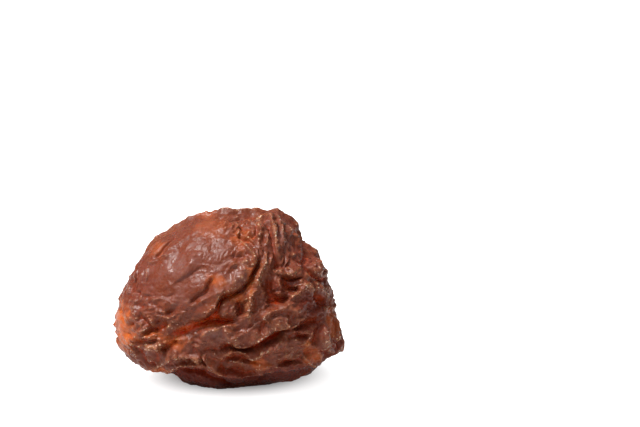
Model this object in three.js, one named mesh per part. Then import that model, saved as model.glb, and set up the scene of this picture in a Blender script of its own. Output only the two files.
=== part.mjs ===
// A monukka raisin: one large seedless grape, dried to a flattened berry with deep folds in its skin.
// Millimetres, +Z up. X runs along its length, -Y is its front, and it rests on a small flat spot at Z = 0.
import * as THREE from "three";
import { mergeVertices } from "three/addons/utils/BufferGeometryUtils.js";

// Driving dimensions. LENGTH is end to end, and everything below is drawn for 18 mm and scales with it.
const LENGTH = 18;
const FRONT_DEPTH = 6.0;
const BACK_DEPTH = 5.8;
const FULLNESS = 2.25; // 2 would be an ellipsoid, and more is boxier
const TILT = THREE.MathUtils.degToRad(12); // the front is laid out as seen from this far above the horizon
const REST_DROP = 6.75; // from the berry's centre down to its flat spot
const SKIN_INSET = 0.2; // the smooth body lies this far inside the folded skin's crests
const DETAIL = 23; // 20 * (DETAIL + 1)² triangles
const FRONT_PULL = 0.3; // how far the triangles crowd towards the front, where the deep folds are
const SOFTEN = 0.048; // radians round each vertex that its place is averaged over, so that no fold is jagged
const NARROWEST = 0.5; // the least half width of a fold, about one triangle
const FORWARD = 0.9; // how far the front's folds turn from the body's normal towards the front
const LEAN_SHARE = 0.5; // how much of a fold's lean the triangles can follow
const SKIN = { color: 0x7a3a2a, roughness: 0.5, metalness: 0 };

// The outline seen from the front, as [across, up] from the centre, anticlockwise from the left end.
const OUTLINE = [
  [-8.9, -1.0], [-9.0, -1.9], [-8.8, -3.3], [-8.1, -4.5], [-7.3, -5.2], [-6.3, -5.7], [-5.3, -5.9],
  [-4.2, -6.0], [-3.6, -6.5], [-2.6, -7.0], [-1.4, -7.3], [-0.5, -7.2], [0.5, -7.1], [1.7, -6.9],
  [3.2, -6.6], [4.3, -6.6], [5.3, -6.5], [6.0, -6.1], [6.7, -5.6], [7.7, -4.7], [8.5, -4.0],
  [8.9, -3.6], [8.7, -3.0], [8.6, -1.8], [8.3, -0.3], [7.9, 1.1], [7.7, 2.3], [6.8, 3.1], [5.6, 4.3],
  [5.0, 5.6], [4.5, 6.2], [4.0, 6.6], [3.4, 6.8], [2.4, 6.7], [1.5, 6.5], [0.5, 6.6], [-0.9, 6.6],
  [-2.6, 6.3], [-3.8, 5.6], [-5.2, 4.8], [-6.1, 4.2], [-6.7, 3.4], [-7.7, 2.1], [-8.2, 1.0], [-8.7, -0.1],
];

// The front's folds, by their routes across the outline. A height above 0 is a crest and below 0 a crease.
// widths are the half widths on the left and right of the route, and lean pushes its crest to the right.
const FRONT_FOLDS = [
  { name: "dome lip", height: 0.5, widths: [0.3, 1.3], lean: -0.3,
    route: [[0.1, 4.2], [1.1, 4.3], [2.0, 3.8], [2.2, 3.0], [1.8, 2.4], [1.5, 1.6], [0.7, 0.8], [-0.4, 0.5],
      [-1.1, -0.5], [-2.0, -1.4], [-3.3, -2.1]] },
  { name: "dome crease", height: -0.85, widths: [0.28, 0.26],
    route: [[2.4, 3.6], [2.4, 3.0], [2.0, 2.1], [1.5, 1.3], [0.7, 0.6], [-0.1, 0.3], [-0.5, -0.1],
      [-0.8, -0.8], [-1.5, -1.3], [-2.7, -1.9]] },
  { name: "dome slit", height: -0.45, widths: [0.16, 0.3],
    route: [[-2.9, -0.5], [-2.4, 0.2], [-1.6, 0.7], [-1.3, 1.3], [-0.9, 1.8]] },
  { name: "second crest", height: 0.6, widths: [0.3, 0.3],
    route: [[3.1, 3.7], [3.0, 3.0], [2.7, 2.3], [2.3, 1.6], [2.2, 1.0], [1.7, 0.3], [1.8, -0.1],
      [1.6, -0.7], [1.6, -1.1], [1.3, -1.5]] },
  { name: "neck crease", height: -0.75, widths: [0.22, 0.22],
    route: [[2.9, 6.3], [3.2, 5.1], [3.4, 4.2], [3.6, 3.7], [3.7, 3.1], [3.7, 2.5], [3.8, 2.1]] },
  { name: "inner hump crest", height: 0.35, widths: [0.22, 0.3],
    route: [[3.2, 6.9], [3.4, 6.2], [3.6, 5.5], [3.6, 4.7], [3.7, 3.9], [3.8, 3.1], [3.9, 2.4]] },
  { name: "inner hump crease", height: -0.2, widths: [0.16, 0.16],
    route: [[3.6, 6.3], [3.8, 5.8], [3.8, 5.1], [3.8, 4.4]] },
  { name: "middle hump crest", height: 0.2, widths: [0.24, 0.24],
    route: [[3.6, 6.8], [4.0, 6.2], [4.2, 5.6], [4.2, 4.9], [4.1, 4.2], [4.2, 3.6]] },
  { name: "outer hump crease", height: -0.35, widths: [0.2, 0.2],
    route: [[4.1, 6.5], [4.5, 5.9], [4.9, 5.1], [5.0, 4.5], [5.0, 3.9]] },
  { name: "outer hump crest", height: 0.3, widths: [0.2, 0.35],
    route: [[4.5, 5.8], [5.0, 5.2], [5.2, 4.6], [5.4, 4.1]] },
  { name: "hump bulge", height: 0.35, widths: [0.5, 0.5], route: [[5.3, 5.1], [5.6, 4.7], [5.9, 4.3]] },
  { name: "lobe hollow", height: -0.7, widths: [0.4, 0.35],
    route: [[5.5, 4.1], [5.8, 3.5], [5.7, 2.9], [5.5, 2.4]] },
  { name: "lobe", height: 0.45, widths: [0.7, 0.7], route: [[6.6, 3.0], [7.0, 2.6], [7.4, 2.0]] },
  { name: "under the lobe", height: -0.65, widths: [0.22, 0.3],
    route: [[5.8, 2.6], [6.2, 1.9], [6.8, 1.5], [7.6, 1.3], [8.0, 1.0]] },
  { name: "hump lip", height: 0.45, widths: [0.35, 0.2], lean: 0.15,
    route: [[3.7, 2.6], [3.9, 2.1], [4.3, 2.0], [4.9, 2.0], [5.3, 2.1], [5.8, 2.1]] },
  { name: "under the hump", height: -0.7, widths: [0.22, 0.3],
    route: [[4.0, 1.8], [4.5, 1.6], [5.0, 1.6], [5.8, 1.8]] },
  { name: "long valley", height: -1.0, widths: [0.36, 0.4],
    route: [[1.2, -1.5], [0.4, -1.5], [-0.3, -1.5], [-0.9, -1.4], [-1.8, -1.7], [-2.7, -2.0], [-3.8, -2.5],
      [-4.7, -3.1]] },
  { name: "pocket", height: -0.55, widths: [0.25, 0.3],
    route: [[0.9, 0.2], [0.9, -0.3], [1.0, -0.8], [1.1, -1.2]] },
  { name: "inner tongue", height: 0.2, widths: [0.45, 0.4],
    route: [[-0.7, -0.9], [-0.1, -0.8], [0.4, -0.9], [0.8, -1.2]] },
  { name: "third crest", height: 0.5, widths: [0.7, 0.22], lean: 0.2,
    route: [[1.2, -1.8], [0.5, -1.8], [-0.2, -1.9], [-0.8, -2.0], [-1.4, -2.3], [-1.8, -2.6],
      [-2.1, -3.1]] },
  { name: "right fall", height: -0.6, widths: [0.3, 0.3],
    route: [[3.4, 1.9], [3.1, 1.3], [3.2, 0.6], [3.6, 0.2], [4.1, 0.0], [4.7, 0.4]] },
  { name: "right fall crest", height: 0.35, widths: [0.22, 0.22],
    route: [[3.9, 1.7], [4.1, 1.2], [4.1, 0.7], [3.8, 0.3]] },
  { name: "fourth lip", height: 0.6, widths: [0.9, 0.22], lean: 0.3,
    route: [[-0.5, -3.1], [0.1, -3.2], [0.8, -3.4], [1.3, -3.4], [1.9, -3.3], [2.6, -2.9], [3.5, -2.3],
      [4.3, -2.1], [5.1, -1.7], [5.8, -1.5]] },
  { name: "fourth crease", height: -0.85, widths: [0.22, 0.25],
    route: [[-0.9, -4.3], [-0.4, -3.6], [0.1, -3.4], [0.7, -3.6], [1.3, -3.6], [2.0, -3.5], [2.7, -3.1],
      [3.4, -2.7], [4.0, -2.3], [4.5, -2.4]] },
  { name: "fifth lip", height: 0.55, widths: [0.3, 0.22], lean: 0.2,
    route: [[-1.2, -5.0], [-0.6, -4.6], [-0.1, -4.2], [0.4, -3.9], [1.0, -3.9], [1.4, -4.1], [1.7, -4.4],
      [2.1, -4.5], [2.5, -4.3], [2.9, -4.0], [3.5, -3.8], [4.2, -3.6], [4.8, -3.2], [5.4, -3.1]] },
  { name: "fifth crease", height: -0.6, widths: [0.22, 0.3],
    route: [[-1.1, -4.8], [-0.5, -4.7], [0.0, -4.4], [0.6, -4.3], [1.2, -4.4], [1.8, -4.6], [2.3, -4.8],
      [2.9, -4.6]] },
  { name: "sixth lip", height: 0.25, widths: [0.22, 0.2],
    route: [[-0.9, -5.1], [-0.2, -4.7], [0.9, -4.7], [2.0, -4.9], [3.0, -5.0]] },
  { name: "skirt hollow", height: -0.65, widths: [0.22, 0.22],
    route: [[-1.1, -5.4], [-0.4, -5.2], [0.7, -5.2], [1.6, -5.4], [2.3, -5.5]] },
  { name: "skirt", height: 0.6, widths: [0.35, 0.25], lean: 0.3,
    route: [[-7.9, -6.0], [-6.9, -5.9], [-6.3, -5.3], [-5.5, -5.1], [-4.7, -4.7], [-3.8, -4.4],
      [-3.0, -4.3], [-2.5, -4.5], [-1.9, -4.3], [-1.6, -4.8], [-1.3, -5.3], [-0.7, -5.6], [-0.2, -5.7],
      [0.1, -5.9], [0.8, -5.9], [1.4, -5.9], [2.0, -5.8], [2.6, -5.5], [3.2, -5.0]] },
  { name: "under the skirt", height: -1.0, widths: [0.22, 0.3],
    route: [[-4.4, -5.5], [-3.5, -5.3], [-2.7, -5.3], [-1.9, -5.4], [-1.4, -5.8], [-0.7, -6.0], [0.0, -6.3],
      [0.8, -6.2], [1.6, -6.1], [2.3, -6.0], [3.1, -5.7]] },
  { name: "right shelf", height: 0.45, widths: [0.3, 0.25], lean: 0.1,
    route: [[4.7, 2.1], [5.1, 2.0], [5.7, 1.9], [6.0, 1.7], [6.3, 1.4]] },
  { name: "right hole", height: -0.75, widths: [0.3, 0.3],
    route: [[4.2, 1.5], [4.6, 1.0], [5.0, 0.8], [5.4, 1.0]] },
  { name: "right crest", height: 0.55, widths: [0.3, 0.26],
    route: [[3.7, -0.4], [4.2, -0.2], [4.7, 0.1], [5.2, 0.4], [5.7, 0.9], [6.1, 1.2], [6.5, 0.7],
      [6.9, 0.7], [7.3, 0.9], [7.6, 1.0]] },
  { name: "right fold", height: -0.65, widths: [0.25, 0.28],
    route: [[2.9, -0.0], [3.4, -0.1], [3.9, -0.1], [4.4, 0.1], [4.9, 0.4]] },
  { name: "dark hollow", height: -0.95, widths: [0.45, 0.5],
    route: [[6.3, 0.2], [6.7, -0.0], [7.1, -0.3], [7.3, -0.7]] },
  { name: "low right crest", height: 0.45, widths: [0.3, 0.22],
    route: [[2.3, -1.2], [2.9, -1.1], [3.7, -0.8], [4.7, -0.5], [5.3, -0.9], [5.8, -0.7], [6.1, -0.3]] },
  { name: "low right crease", height: -0.4, widths: [0.25, 0.25],
    route: [[2.3, -2.5], [2.7, -1.9], [2.9, -1.5]] },
  { name: "low right pocket", height: -0.75, widths: [0.22, 0.3],
    route: [[4.9, -2.2], [5.4, -2.0], [6.0, -1.7], [6.5, -1.6], [6.9, -1.3]] },
  { name: "low right lip", height: 0.4, widths: [0.22, 0.22],
    route: [[3.5, -2.5], [4.2, -2.2], [4.9, -2.1], [5.3, -1.9], [5.8, -1.6], [6.3, -1.5]] },
  { name: "below the pocket", height: 0.3, widths: [0.25, 0.25],
    route: [[4.7, -2.3], [5.3, -2.3], [6.0, -2.4], [6.4, -2.6], [6.6, -2.2]] },
  { name: "corner fold", height: -0.55, widths: [0.25, 0.3],
    route: [[4.4, -2.9], [5.1, -2.8], [5.8, -2.7], [6.3, -2.8]] },
  { name: "edge crease", height: -0.7, widths: [0.22, 0.25],
    route: [[7.7, 1.0], [7.9, 0.3], [7.8, -0.4], [7.6, -1.1]] },
  { name: "edge crest", height: 0.4, widths: [0.25, 0.4],
    route: [[8.2, -0.5], [8.4, -1.3], [8.5, -2.0], [8.5, -2.7], [8.3, -3.0]] },
  { name: "tip crease", height: -0.7, widths: [0.22, 0.22],
    route: [[8.1, -3.0], [8.2, -3.5], [7.9, -4.1], [7.3, -4.5], [7.1, -4.7]] },
  { name: "tip", height: 0.35, widths: [0.4, 0.4],
    route: [[8.7, -3.1], [8.8, -3.5], [8.5, -4.1], [7.9, -4.6]] },
  { name: "corner crest", height: 0.4, widths: [0.28, 0.26],
    route: [[2.3, -4.2], [2.9, -3.9], [3.6, -3.7], [4.2, -3.3], [4.8, -3.0], [5.4, -3.0], [5.8, -3.2]] },
  { name: "corner crease", height: -0.4, widths: [0.18, 0.22],
    route: [[3.7, -5.1], [4.1, -4.7], [4.7, -4.6], [5.4, -4.5], [5.9, -4.4]] },
  { name: "left crease", height: -0.65, widths: [0.22, 0.3],
    route: [[-6.7, -2.6], [-6.0, -2.3], [-5.3, -2.2], [-4.9, -2.0], [-4.3, -1.4]] },
  { name: "left plate edge", height: 0.35, widths: [0.3, 0.16],
    route: [[-7.0, -2.2], [-6.7, -2.4], [-6.2, -2.1], [-6.2, -1.7]] },
  { name: "left slit", height: -0.35, widths: [0.2, 0.2],
    route: [[-6.9, -1.1], [-6.5, -1.3], [-6.1, -1.7], [-6.0, -2.2]] },
  { name: "left lip", height: 0.3, widths: [0.2, 0.2],
    route: [[-6.6, -2.8], [-6.1, -2.8], [-5.7, -2.6], [-5.2, -2.7]] },
  { name: "below the left lip", height: -0.45, widths: [0.2, 0.22],
    route: [[-7.2, -3.2], [-6.6, -3.1], [-5.9, -3.1], [-5.2, -3.0]] },
  { name: "left lump", height: 0.45, widths: [0.45, 0.45],
    route: [[-6.5, -3.4], [-5.9, -3.5], [-5.4, -3.7], [-5.6, -4.2]] },
  { name: "left orange", height: -0.6, widths: [0.22, 0.25],
    route: [[-5.2, -3.9], [-4.7, -3.5], [-4.2, -3.2], [-3.6, -3.0]] },
  { name: "below the lump", height: -0.45, widths: [0.25, 0.25],
    route: [[-7.1, -3.9], [-6.6, -3.9], [-6.2, -4.7], [-5.7, -4.8], [-5.3, -5.0]] },
];

// The lower edge of the skin's skirt, as [across, up]. The skirt hangs over the body below it, and fades out
// between the two places across that are given for each end.
const HEM = {
  edge: [
    [-6.2, -5.6], [-5.1, -5.8], [-4.4, -5.5], [-3.7, -5.1], [-2.8, -5.0], [-1.8, -5.0], [-1.4, -5.3],
    [-0.9, -5.6], [-0.1, -5.8], [0.9, -5.8], [1.8, -5.8], [2.9, -5.6], [3.5, -5.5], [4.6, -5.5],
    [5.6, -5.4], [6.6, -5.3],
  ],
  leftEnd: [-6.8, -5.4],
  rightEnd: [7.2, 5.8],
  overhang: 0.8,
  lip: 0.3,
};

// The long folds over the top, back and underside are drawn by rule, one line of them after another.
const LONG_FOLDS = {
  seed: 2024,
  around: [94, 264], // degrees round the long axis, from the front over the top
  spacing: [8.5, 12],
  reach: 0.8, // share of the way to the berry's ends
  height: [0.3, 0.5],
  width: [0.32, 0.52],
  lean: 0.25,
};

// The smooth shoulder at the upper left of the front: an ellipse round [x, up] that fades out between inner
// and outer, and behind back. calm is how much of the wrinkles it is spared, and under is as much for the
// underside, between the two heights. RIM is the left end's smooth edge.
const DOME = { x: -3.6, up: 3.2, stretch: 1.2, inner: 2.5, outer: 4.7, back: 4, calm: 0.88 };
const UNDER = { top: -4.9, bottom: -6, calm: 0.7 };
const RIM = { inner: -7.4, outer: -8.4, calm: 0.75 };

// What wrinkles the skin between the folds. long and short are a wrinkle's size along and across the folds.
const BACK_WRINKLES = { height: 0.35, long: 6, short: 2.7, seed: 5, front: 0.15 };
const WRINKLES = { height: 0.3, long: 2.6, short: 0.95, seed: 8 };
const LUMPS = { height: 0.16, size: 2.3, seed: 77 };
const CREST_GRAIN = { share: 0.72, size: 0.55, seed: 23 };

// How far each of them swings to and fro, over swings of the given size.
const SWINGS = {
  folds: { size: 2.6, amount: 0.14, seed: 11 },
  foldsFine: { size: 0.9, amount: 0.09, seed: 17 },
  backWrinkles: { size: 3.5, amount: 1.5, seed: 31 },
  wrinkles: { size: 2, amount: 0.6, seed: 51 },
  crestGrain: { size: 0.8, amount: 0.3, seed: 91 },
  lumps: { size: 2, amount: 0.5, seed: 131 },
};

// A sum in 32-bit whole numbers, so that the same cell of the grid always gives the same draw.
function cellHash(x, y, z, seed) {
  let h =
    (Math.imul(x, 374761393) + Math.imul(y, 668265263) + Math.imul(z, 1440662683) +
      Math.imul(seed, 2246822519)) >>> 0;
  h = Math.imul(h ^ (h >>> 13), 1274126177) >>> 0;
  h = Math.imul(h ^ (h >>> 16), 2246822519) >>> 0;
  return (h ^ (h >>> 15)) >>> 0;
}

// Smooth gradient noise, about -1 to 1, of one cycle in one to two units.
function noise(p, seed) {
  const cell = [Math.floor(p.x), Math.floor(p.y), Math.floor(p.z)];
  const part = [p.x - cell[0], p.y - cell[1], p.z - cell[2]];
  const ease = part.map((f) => f * f * f * (f * (f * 6 - 15) + 10));
  let sum = 0;
  for (let corner = 0; corner < 8; corner++) {
    const step = [corner & 1, (corner >> 1) & 1, (corner >> 2) & 1];
    const h = cellHash(cell[0] + step[0], cell[1] + step[1], cell[2] + step[2], seed);
    let slope = 0;
    let weight = 1;
    step.forEach((s, axis) => {
      slope += (((h >>> (10 * axis)) & 1023) / 511.5 - 1) * (part[axis] - s);
      weight *= s ? ease[axis] : 1 - ease[axis];
    });
    sum += slope * weight;
  }
  return sum * 1.4;
}

// p moved about by noise, which makes what is drawn there wander.
function wander(p, { size, amount, seed }) {
  const at = p.clone().divideScalar(size);
  const push = new THREE.Vector3(noise(at, seed), noise(at, seed + 1), noise(at, seed + 2));
  return push.multiplyScalar(amount).add(p);
}

// Thin crests with smooth dents between them, long in the direction they run in and short across it. run is
// their angle in the front view. They are blended from a few fixed directions.
const CREST_WAYS = 4;
function crests(p, { long, short, seed }, run) {
  let sum = 0;
  let shares = 0;
  for (let k = 0; k < CREST_WAYS; k++) {
    const angle = (Math.PI * k) / CREST_WAYS;
    const share = Math.max(Math.cos(2 * (run - angle)), 0) ** 2 + 0.02;
    const at = p.clone().applyAxisAngle(new THREE.Vector3(0, 1, 0), angle);
    at.divide(new THREE.Vector3(long, (long + short) / 1.6, short));
    sum += share * (1 - 2.2 * Math.hypot(noise(at, seed + k), 0.07));
    shares += share;
  }
  return sum / shares;
}

function smoothstep(low, high, x) {
  const t = THREE.MathUtils.clamp((x - low) / (high - low), 0, 1);
  return t * t * (3 - 2 * t);
}

// Catmull-Rom through four values.
function spline(p0, p1, p2, p3, f) {
  return p1 + 0.5 * f * (p2 - p0 + f * (2 * p0 - 5 * p1 + 4 * p2 - p3 + f * (3 * (p1 - p2) + p3 - p0)));
}

// The outline's radius at even steps round it, read from the drawn points.
const OUTLINE_STEPS = 48;
const outlineRadii = (() => {
  const points = OUTLINE.map(([x, up]) => ({ angle: Math.atan2(up, x), radius: Math.hypot(x, up) }));
  points.sort((a, b) => a.angle - b.angle);
  const before = points.map((p) => ({ ...p, angle: p.angle - 2 * Math.PI }));
  const after = points.map((p) => ({ ...p, angle: p.angle + 2 * Math.PI }));
  const ring = [...before, ...points, ...after];
  return Array.from({ length: OUTLINE_STEPS }, (_, i) => {
    const angle = (i / OUTLINE_STEPS) * 2 * Math.PI - Math.PI;
    const k = ring.findIndex((p) => p.angle > angle);
    const [a, b] = [ring[k - 1], ring[k]];
    return a.radius + ((b.radius - a.radius) * (angle - a.angle)) / (b.angle - a.angle);
  });
})();

function outlineRadius(x, up) {
  const t = ((Math.atan2(up, x) + Math.PI) / (2 * Math.PI)) * OUTLINE_STEPS;
  const i = Math.floor(t);
  const r = (k) => outlineRadii[(i + k + OUTLINE_STEPS) % OUTLINE_STEPS];
  return spline(r(-1), r(0), r(1), r(2), t - i);
}

// 1 on the smooth body, less inside it and more outside.
function bodyLevel(p) {
  const depth = p.y < 0 ? FRONT_DEPTH : BACK_DEPTH;
  const share = Math.hypot(p.x, p.z) / outlineRadius(p.x, p.z);
  return share ** FULLNESS + (Math.abs(p.y) / depth) ** FULLNESS;
}

function onBody(direction) {
  return direction.clone().multiplyScalar(bodyLevel(direction) ** (-1 / FULLNESS));
}

function bodyNormal(p) {
  const e = 0.02;
  const along = (axis) => {
    const ahead = p.clone();
    const behind = p.clone();
    ahead[axis] += e;
    behind[axis] -= e;
    return bodyLevel(ahead) - bodyLevel(behind);
  };
  return new THREE.Vector3(along("x"), along("y"), along("z")).normalize();
}

// The point of the smooth body's front at [across, up].
function onFront(x, up) {
  const share = Math.min(Math.hypot(x, up) / outlineRadius(x, up), 0.985);
  return new THREE.Vector3(x, -FRONT_DEPTH * (1 - share ** FULLNESS) ** (1 / FULLNESS), up);
}

// A route's points with four more between each two, on one smooth line.
function smoothRoute(points) {
  const first = points[0].map((v, k) => 2 * v - points[1][k]);
  const end = points.length - 1;
  const last = points[end].map((v, k) => 2 * v - points[end - 1][k]);
  const p = [first, ...points, last];
  const line = [];
  for (let i = 1; i < p.length - 2; i++)
    for (let f = 0; f < 1; f += 0.2)
      line.push([0, 1].map((k) => spline(p[i - 1][k], p[i][k], p[i + 1][k], p[i + 2][k], f)));
  line.push([...points[end]]);
  return line;
}

// A fold made ready: its line on the body, with each stretch's direction to the right.
function laidFold({ height, widths, lean = 0 }, line) {
  const stretches = line.slice(1).map((to, i) => {
    const along = to.clone().sub(line[i]);
    const right = along.clone().normalize().cross(bodyNormal(line[i])).normalize();
    return { from: line[i], along, squared: along.lengthSq(), right };
  });
  return { height, widths, lean, stretches, box: new THREE.Box3().setFromPoints(line).expandByScalar(2.6) };
}

function* draws(seed) {
  for (let s = seed; ; ) {
    s = (Math.imul(s, 1664525) + 1013904223) >>> 0;
    yield s / 2 ** 32;
  }
}

// The point of the body at a share of the way to its ends and an angle round the long axis.
function onBelt(share, around) {
  const c = Math.cos((share * Math.PI) / 2);
  const turn = THREE.MathUtils.degToRad(around);
  return onBody(new THREE.Vector3(Math.sin((share * Math.PI) / 2), -c * Math.cos(turn), c * Math.sin(turn)));
}

function longFolds() {
  const source = draws(LONG_FOLDS.seed);
  const draw = ([low, high]) => low + (high - low) * source.next().value;
  const made = [];
  let line = 0;
  for (let around = LONG_FOLDS.around[0]; around < LONG_FOLDS.around[1]; around += draw(LONG_FOLDS.spacing)) {
    let start = -LONG_FOLDS.reach + draw([0, 0.25]);
    while (start < 0.6) {
      const end = Math.min(LONG_FOLDS.reach, start + draw([0.5, 1.15]));
      const [phase, swing, waves] = [draw([0, 6.28]), draw([5, 13]), draw([3, 5.5])];
      const drift = draw([-5, 5]);
      const route = Array.from({ length: 6 }, (_, i) => {
        const share = start + ((end - start) * i) / 5;
        return [share, around + swing * Math.sin(waves * share + phase) + drift * (share - start)];
      });
      const isCrease = line % 3 === 2;
      const height = draw(LONG_FOLDS.height) * (isCrease ? -1 : 1);
      const widths = [draw(LONG_FOLDS.width), draw(LONG_FOLDS.width)];
      const lean = isCrease ? 0 : draw([-LONG_FOLDS.lean, LONG_FOLDS.lean]);
      made.push(laidFold({ height, widths, lean }, smoothRoute(route).map(([a, b]) => onBelt(a, b))));
      start = end + draw([-0.25, 0.1]);
    }
    line++;
  }
  return made;
}

// How far the folds lift the skin at p, how far they push it sideways, and the angle that those near run at.
const HIGHEST = 0.85;
const DEEPEST = 1.15;
function foldsAt(p, folds) {
  let lift = 0;
  const push = new THREE.Vector3();
  const flow = [0.02, 0]; // the cosine and sine of twice the angle
  for (const { height, widths, lean, stretches, box } of folds) {
    if (!box.containsPoint(p)) continue;
    let best = { squared: Infinity };
    stretches.forEach((stretch, i) => {
      const off = p.clone().sub(stretch.from);
      const t = THREE.MathUtils.clamp(off.dot(stretch.along) / stretch.squared, 0, 1);
      const squared = off.distanceToSquared(stretch.along.clone().multiplyScalar(t));
      if (squared < best.squared) best = { squared, side: off.dot(stretch.right), run: i + t, stretch };
    });
    const run = best.run / stretches.length;
    const ends = smoothstep(0, 0.22, Math.min(run, 1 - run));
    const distance = Math.sqrt(best.squared);
    const drawn = THREE.MathUtils.lerp(widths[0], widths[1], smoothstep(-0.15, 0.15, best.side));
    const width = Math.max(drawn, NARROWEST);
    lift += height * (drawn / width) ** 0.5 * Math.exp(-((distance / width) ** 1.4)) * ends;
    push.addScaledVector(best.stretch.right, LEAN_SHARE * lean * Math.exp(-((distance / 0.5) ** 2)) * ends);
    const twice = 2 * Math.atan2(best.stretch.along.z, best.stretch.along.x);
    const weight = Math.abs(height) * ends * Math.exp(-distance);
    flow[0] += Math.cos(twice) * weight;
    flow[1] += Math.sin(twice) * weight;
  }
  const most = lift > 0 ? HIGHEST : DEEPEST;
  return { lift: most * Math.tanh(lift / most), push, run: Math.atan2(flow[1], flow[0]) / 2 };
}

// How far back the skin goes from the view below the hem, with a lip that stands forward just above it.
function hemPush(x, up) {
  const after = HEM.edge.findIndex((point) => point[0] > x);
  if (after < 1) return 0;
  const [from, to] = [HEM.edge[after - 1], HEM.edge[after]];
  const below = THREE.MathUtils.mapLinear(x, from[0], to[0], from[1], to[1]) - up;
  const reach = smoothstep(...HEM.leftEnd, x) * smoothstep(...HEM.rightEnd, x);
  const lip = HEM.lip * Math.exp(-(((below + 0.2) / 0.3) ** 2));
  return reach * (HEM.overhang * smoothstep(0, 0.3, below) - lip);
}

// The folded skin over a point of the body, in the frame of the front view.
function skinOver(p, laid) {
  const folds = foldsAt(wander(wander(p, SWINGS.folds), SWINGS.foldsFine), laid);
  const front = smoothstep(1, -2.5, p.y);
  const fromDome = Math.hypot((p.x - DOME.x) / DOME.stretch, p.z - DOME.up);
  const dome = smoothstep(DOME.back, 0, p.y) * smoothstep(DOME.outer, DOME.inner, fromDome);
  const under = smoothstep(UNDER.top, UNDER.bottom, p.z);
  const rim = front * smoothstep(RIM.inner, RIM.outer, p.x);
  const loose = (1 - DOME.calm * dome) * (1 - UNDER.calm * under) * (1 - RIM.calm * rim);
  const behind = 1 - (1 - BACK_WRINKLES.front) * front;

  const grain = noise(wander(p, SWINGS.crestGrain).divideScalar(CREST_GRAIN.size), CREST_GRAIN.seed);
  const backWrinkles = crests(wander(p, SWINGS.backWrinkles), BACK_WRINKLES, folds.run) - 0.5;
  const wrinkles = crests(wander(p, SWINGS.wrinkles), WRINKLES, folds.run) - 0.5;
  const lumps = noise(wander(p, SWINGS.lumps).divideScalar(LUMPS.size), LUMPS.seed);
  const raised = folds.lift * (1 + CREST_GRAIN.share * THREE.MathUtils.clamp(folds.lift, 0, 1) * grain);
  const lift = behind * BACK_WRINKLES.height * backWrinkles + loose * WRINKLES.height * wrinkles +
    LUMPS.height * lumps;
  folds.push.y += front * hemPush(p.x, p.z);
  const normal = bodyNormal(p);
  const toward = normal.clone().setY(normal.y - FORWARD * front).normalize();
  return p.clone().addScaledVector(normal, lift - SKIN_INSET).addScaledVector(toward, raised).add(folds.push);
}

// All folds laid on the body. Each fold of the front is moved until its own top or floor, and not its foot,
// is seen along its route.
const SETTLE_TURNS = 3;
const SETTLE_SHARE = 0.7;
const SETTLE_REACH = 0.8;
const SETTLE_SMOOTHING = 12;
const allFolds = (() => {
  const long = longFolds();
  const aims = FRONT_FOLDS.map(({ route }) => smoothRoute(route));
  const routes = aims.map((aim) => aim.map((point) => [...point]));
  const lay = () => [
    ...FRONT_FOLDS.map((fold, k) => laidFold(fold, routes[k].map(([x, up]) => onFront(x, up)))),
    ...long,
  ];
  for (let turn = 0; turn < SETTLE_TURNS; turn++) {
    const laid = lay();
    routes.forEach((route, k) => {
      const miss = route.map(([x, up], i) => {
        const seen = skinOver(onFront(x, up), laid);
        return [aims[k][i][0] - seen.x, aims[k][i][1] - seen.z];
      });
      for (let pass = 0; pass < SETTLE_SMOOTHING; pass++) {
        const before = miss.map((m) => [...m]);
        for (let i = 1; i < miss.length - 1; i++)
          miss[i] = miss[i].map((m, axis) => (before[i - 1][axis] + 2 * m + before[i + 1][axis]) / 4);
        miss[0] = [...miss[1]];
        miss[miss.length - 1] = [...miss[miss.length - 2]];
      }
      route.forEach((point, i) => {
        const off = point.map((v, axis) => v + SETTLE_SHARE * miss[i][axis] - aims[k][i][axis]);
        const far = Math.max(Math.hypot(...off) / SETTLE_REACH, 1);
        route[i] = off.map((v, axis) => aims[k][i][axis] + v / far);
      });
    });
  }
  return lay();
})();

// The mean of the skin's points in and around a direction.
function softSkinPoint(direction) {
  const across = new THREE.Vector3(direction.y, direction.z, direction.x).cross(direction).setLength(SOFTEN);
  const sum = skinOver(onBody(direction), allFolds).multiplyScalar(2);
  for (let tap = 0; tap < 6; tap++) {
    const off = across.clone().applyAxisAngle(direction, (tap * Math.PI) / 3);
    sum.add(skinOver(onBody(off.add(direction).normalize()), allFolds));
  }
  return sum.divideScalar(8);
}

// The berry in its own frame: turned to stand as it lies, with what would sink below the flat spot drawn
// up onto it along its line from the centre.
function raisinGeometry() {
  const sphere = new THREE.IcosahedronGeometry(1, DETAIL);
  sphere.deleteAttribute("normal");
  sphere.deleteAttribute("uv");
  const geometry = mergeVertices(sphere, 1e-5);
  const position = geometry.getAttribute("position");
  for (let i = 0; i < position.count; i++) {
    const direction = new THREE.Vector3().fromBufferAttribute(position, i).normalize();
    direction.setY(direction.y - FRONT_PULL).normalize();
    const p = softSkinPoint(direction).applyAxisAngle(new THREE.Vector3(1, 0, 0), -TILT);
    if (p.z < -REST_DROP) p.multiplyScalar(-REST_DROP / p.z).setZ(-REST_DROP);
    position.setXYZ(i, p.x, p.y, p.z + REST_DROP);
  }
  geometry.computeBoundingBox();
  const scale = LENGTH / (geometry.boundingBox.max.x - geometry.boundingBox.min.x);
  geometry.scale(scale, scale, scale);
  geometry.computeBoundingBox();
  const middle = geometry.boundingBox.getCenter(new THREE.Vector3());
  geometry.translate(-middle.x, -middle.y, 0);
  geometry.computeVertexNormals();
  return geometry;
}

const raisin = new THREE.Mesh(raisinGeometry(), new THREE.MeshStandardMaterial(SKIN));
raisin.name = "raisin";

const group = new THREE.Group();
group.add(raisin);
export default group;
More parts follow.
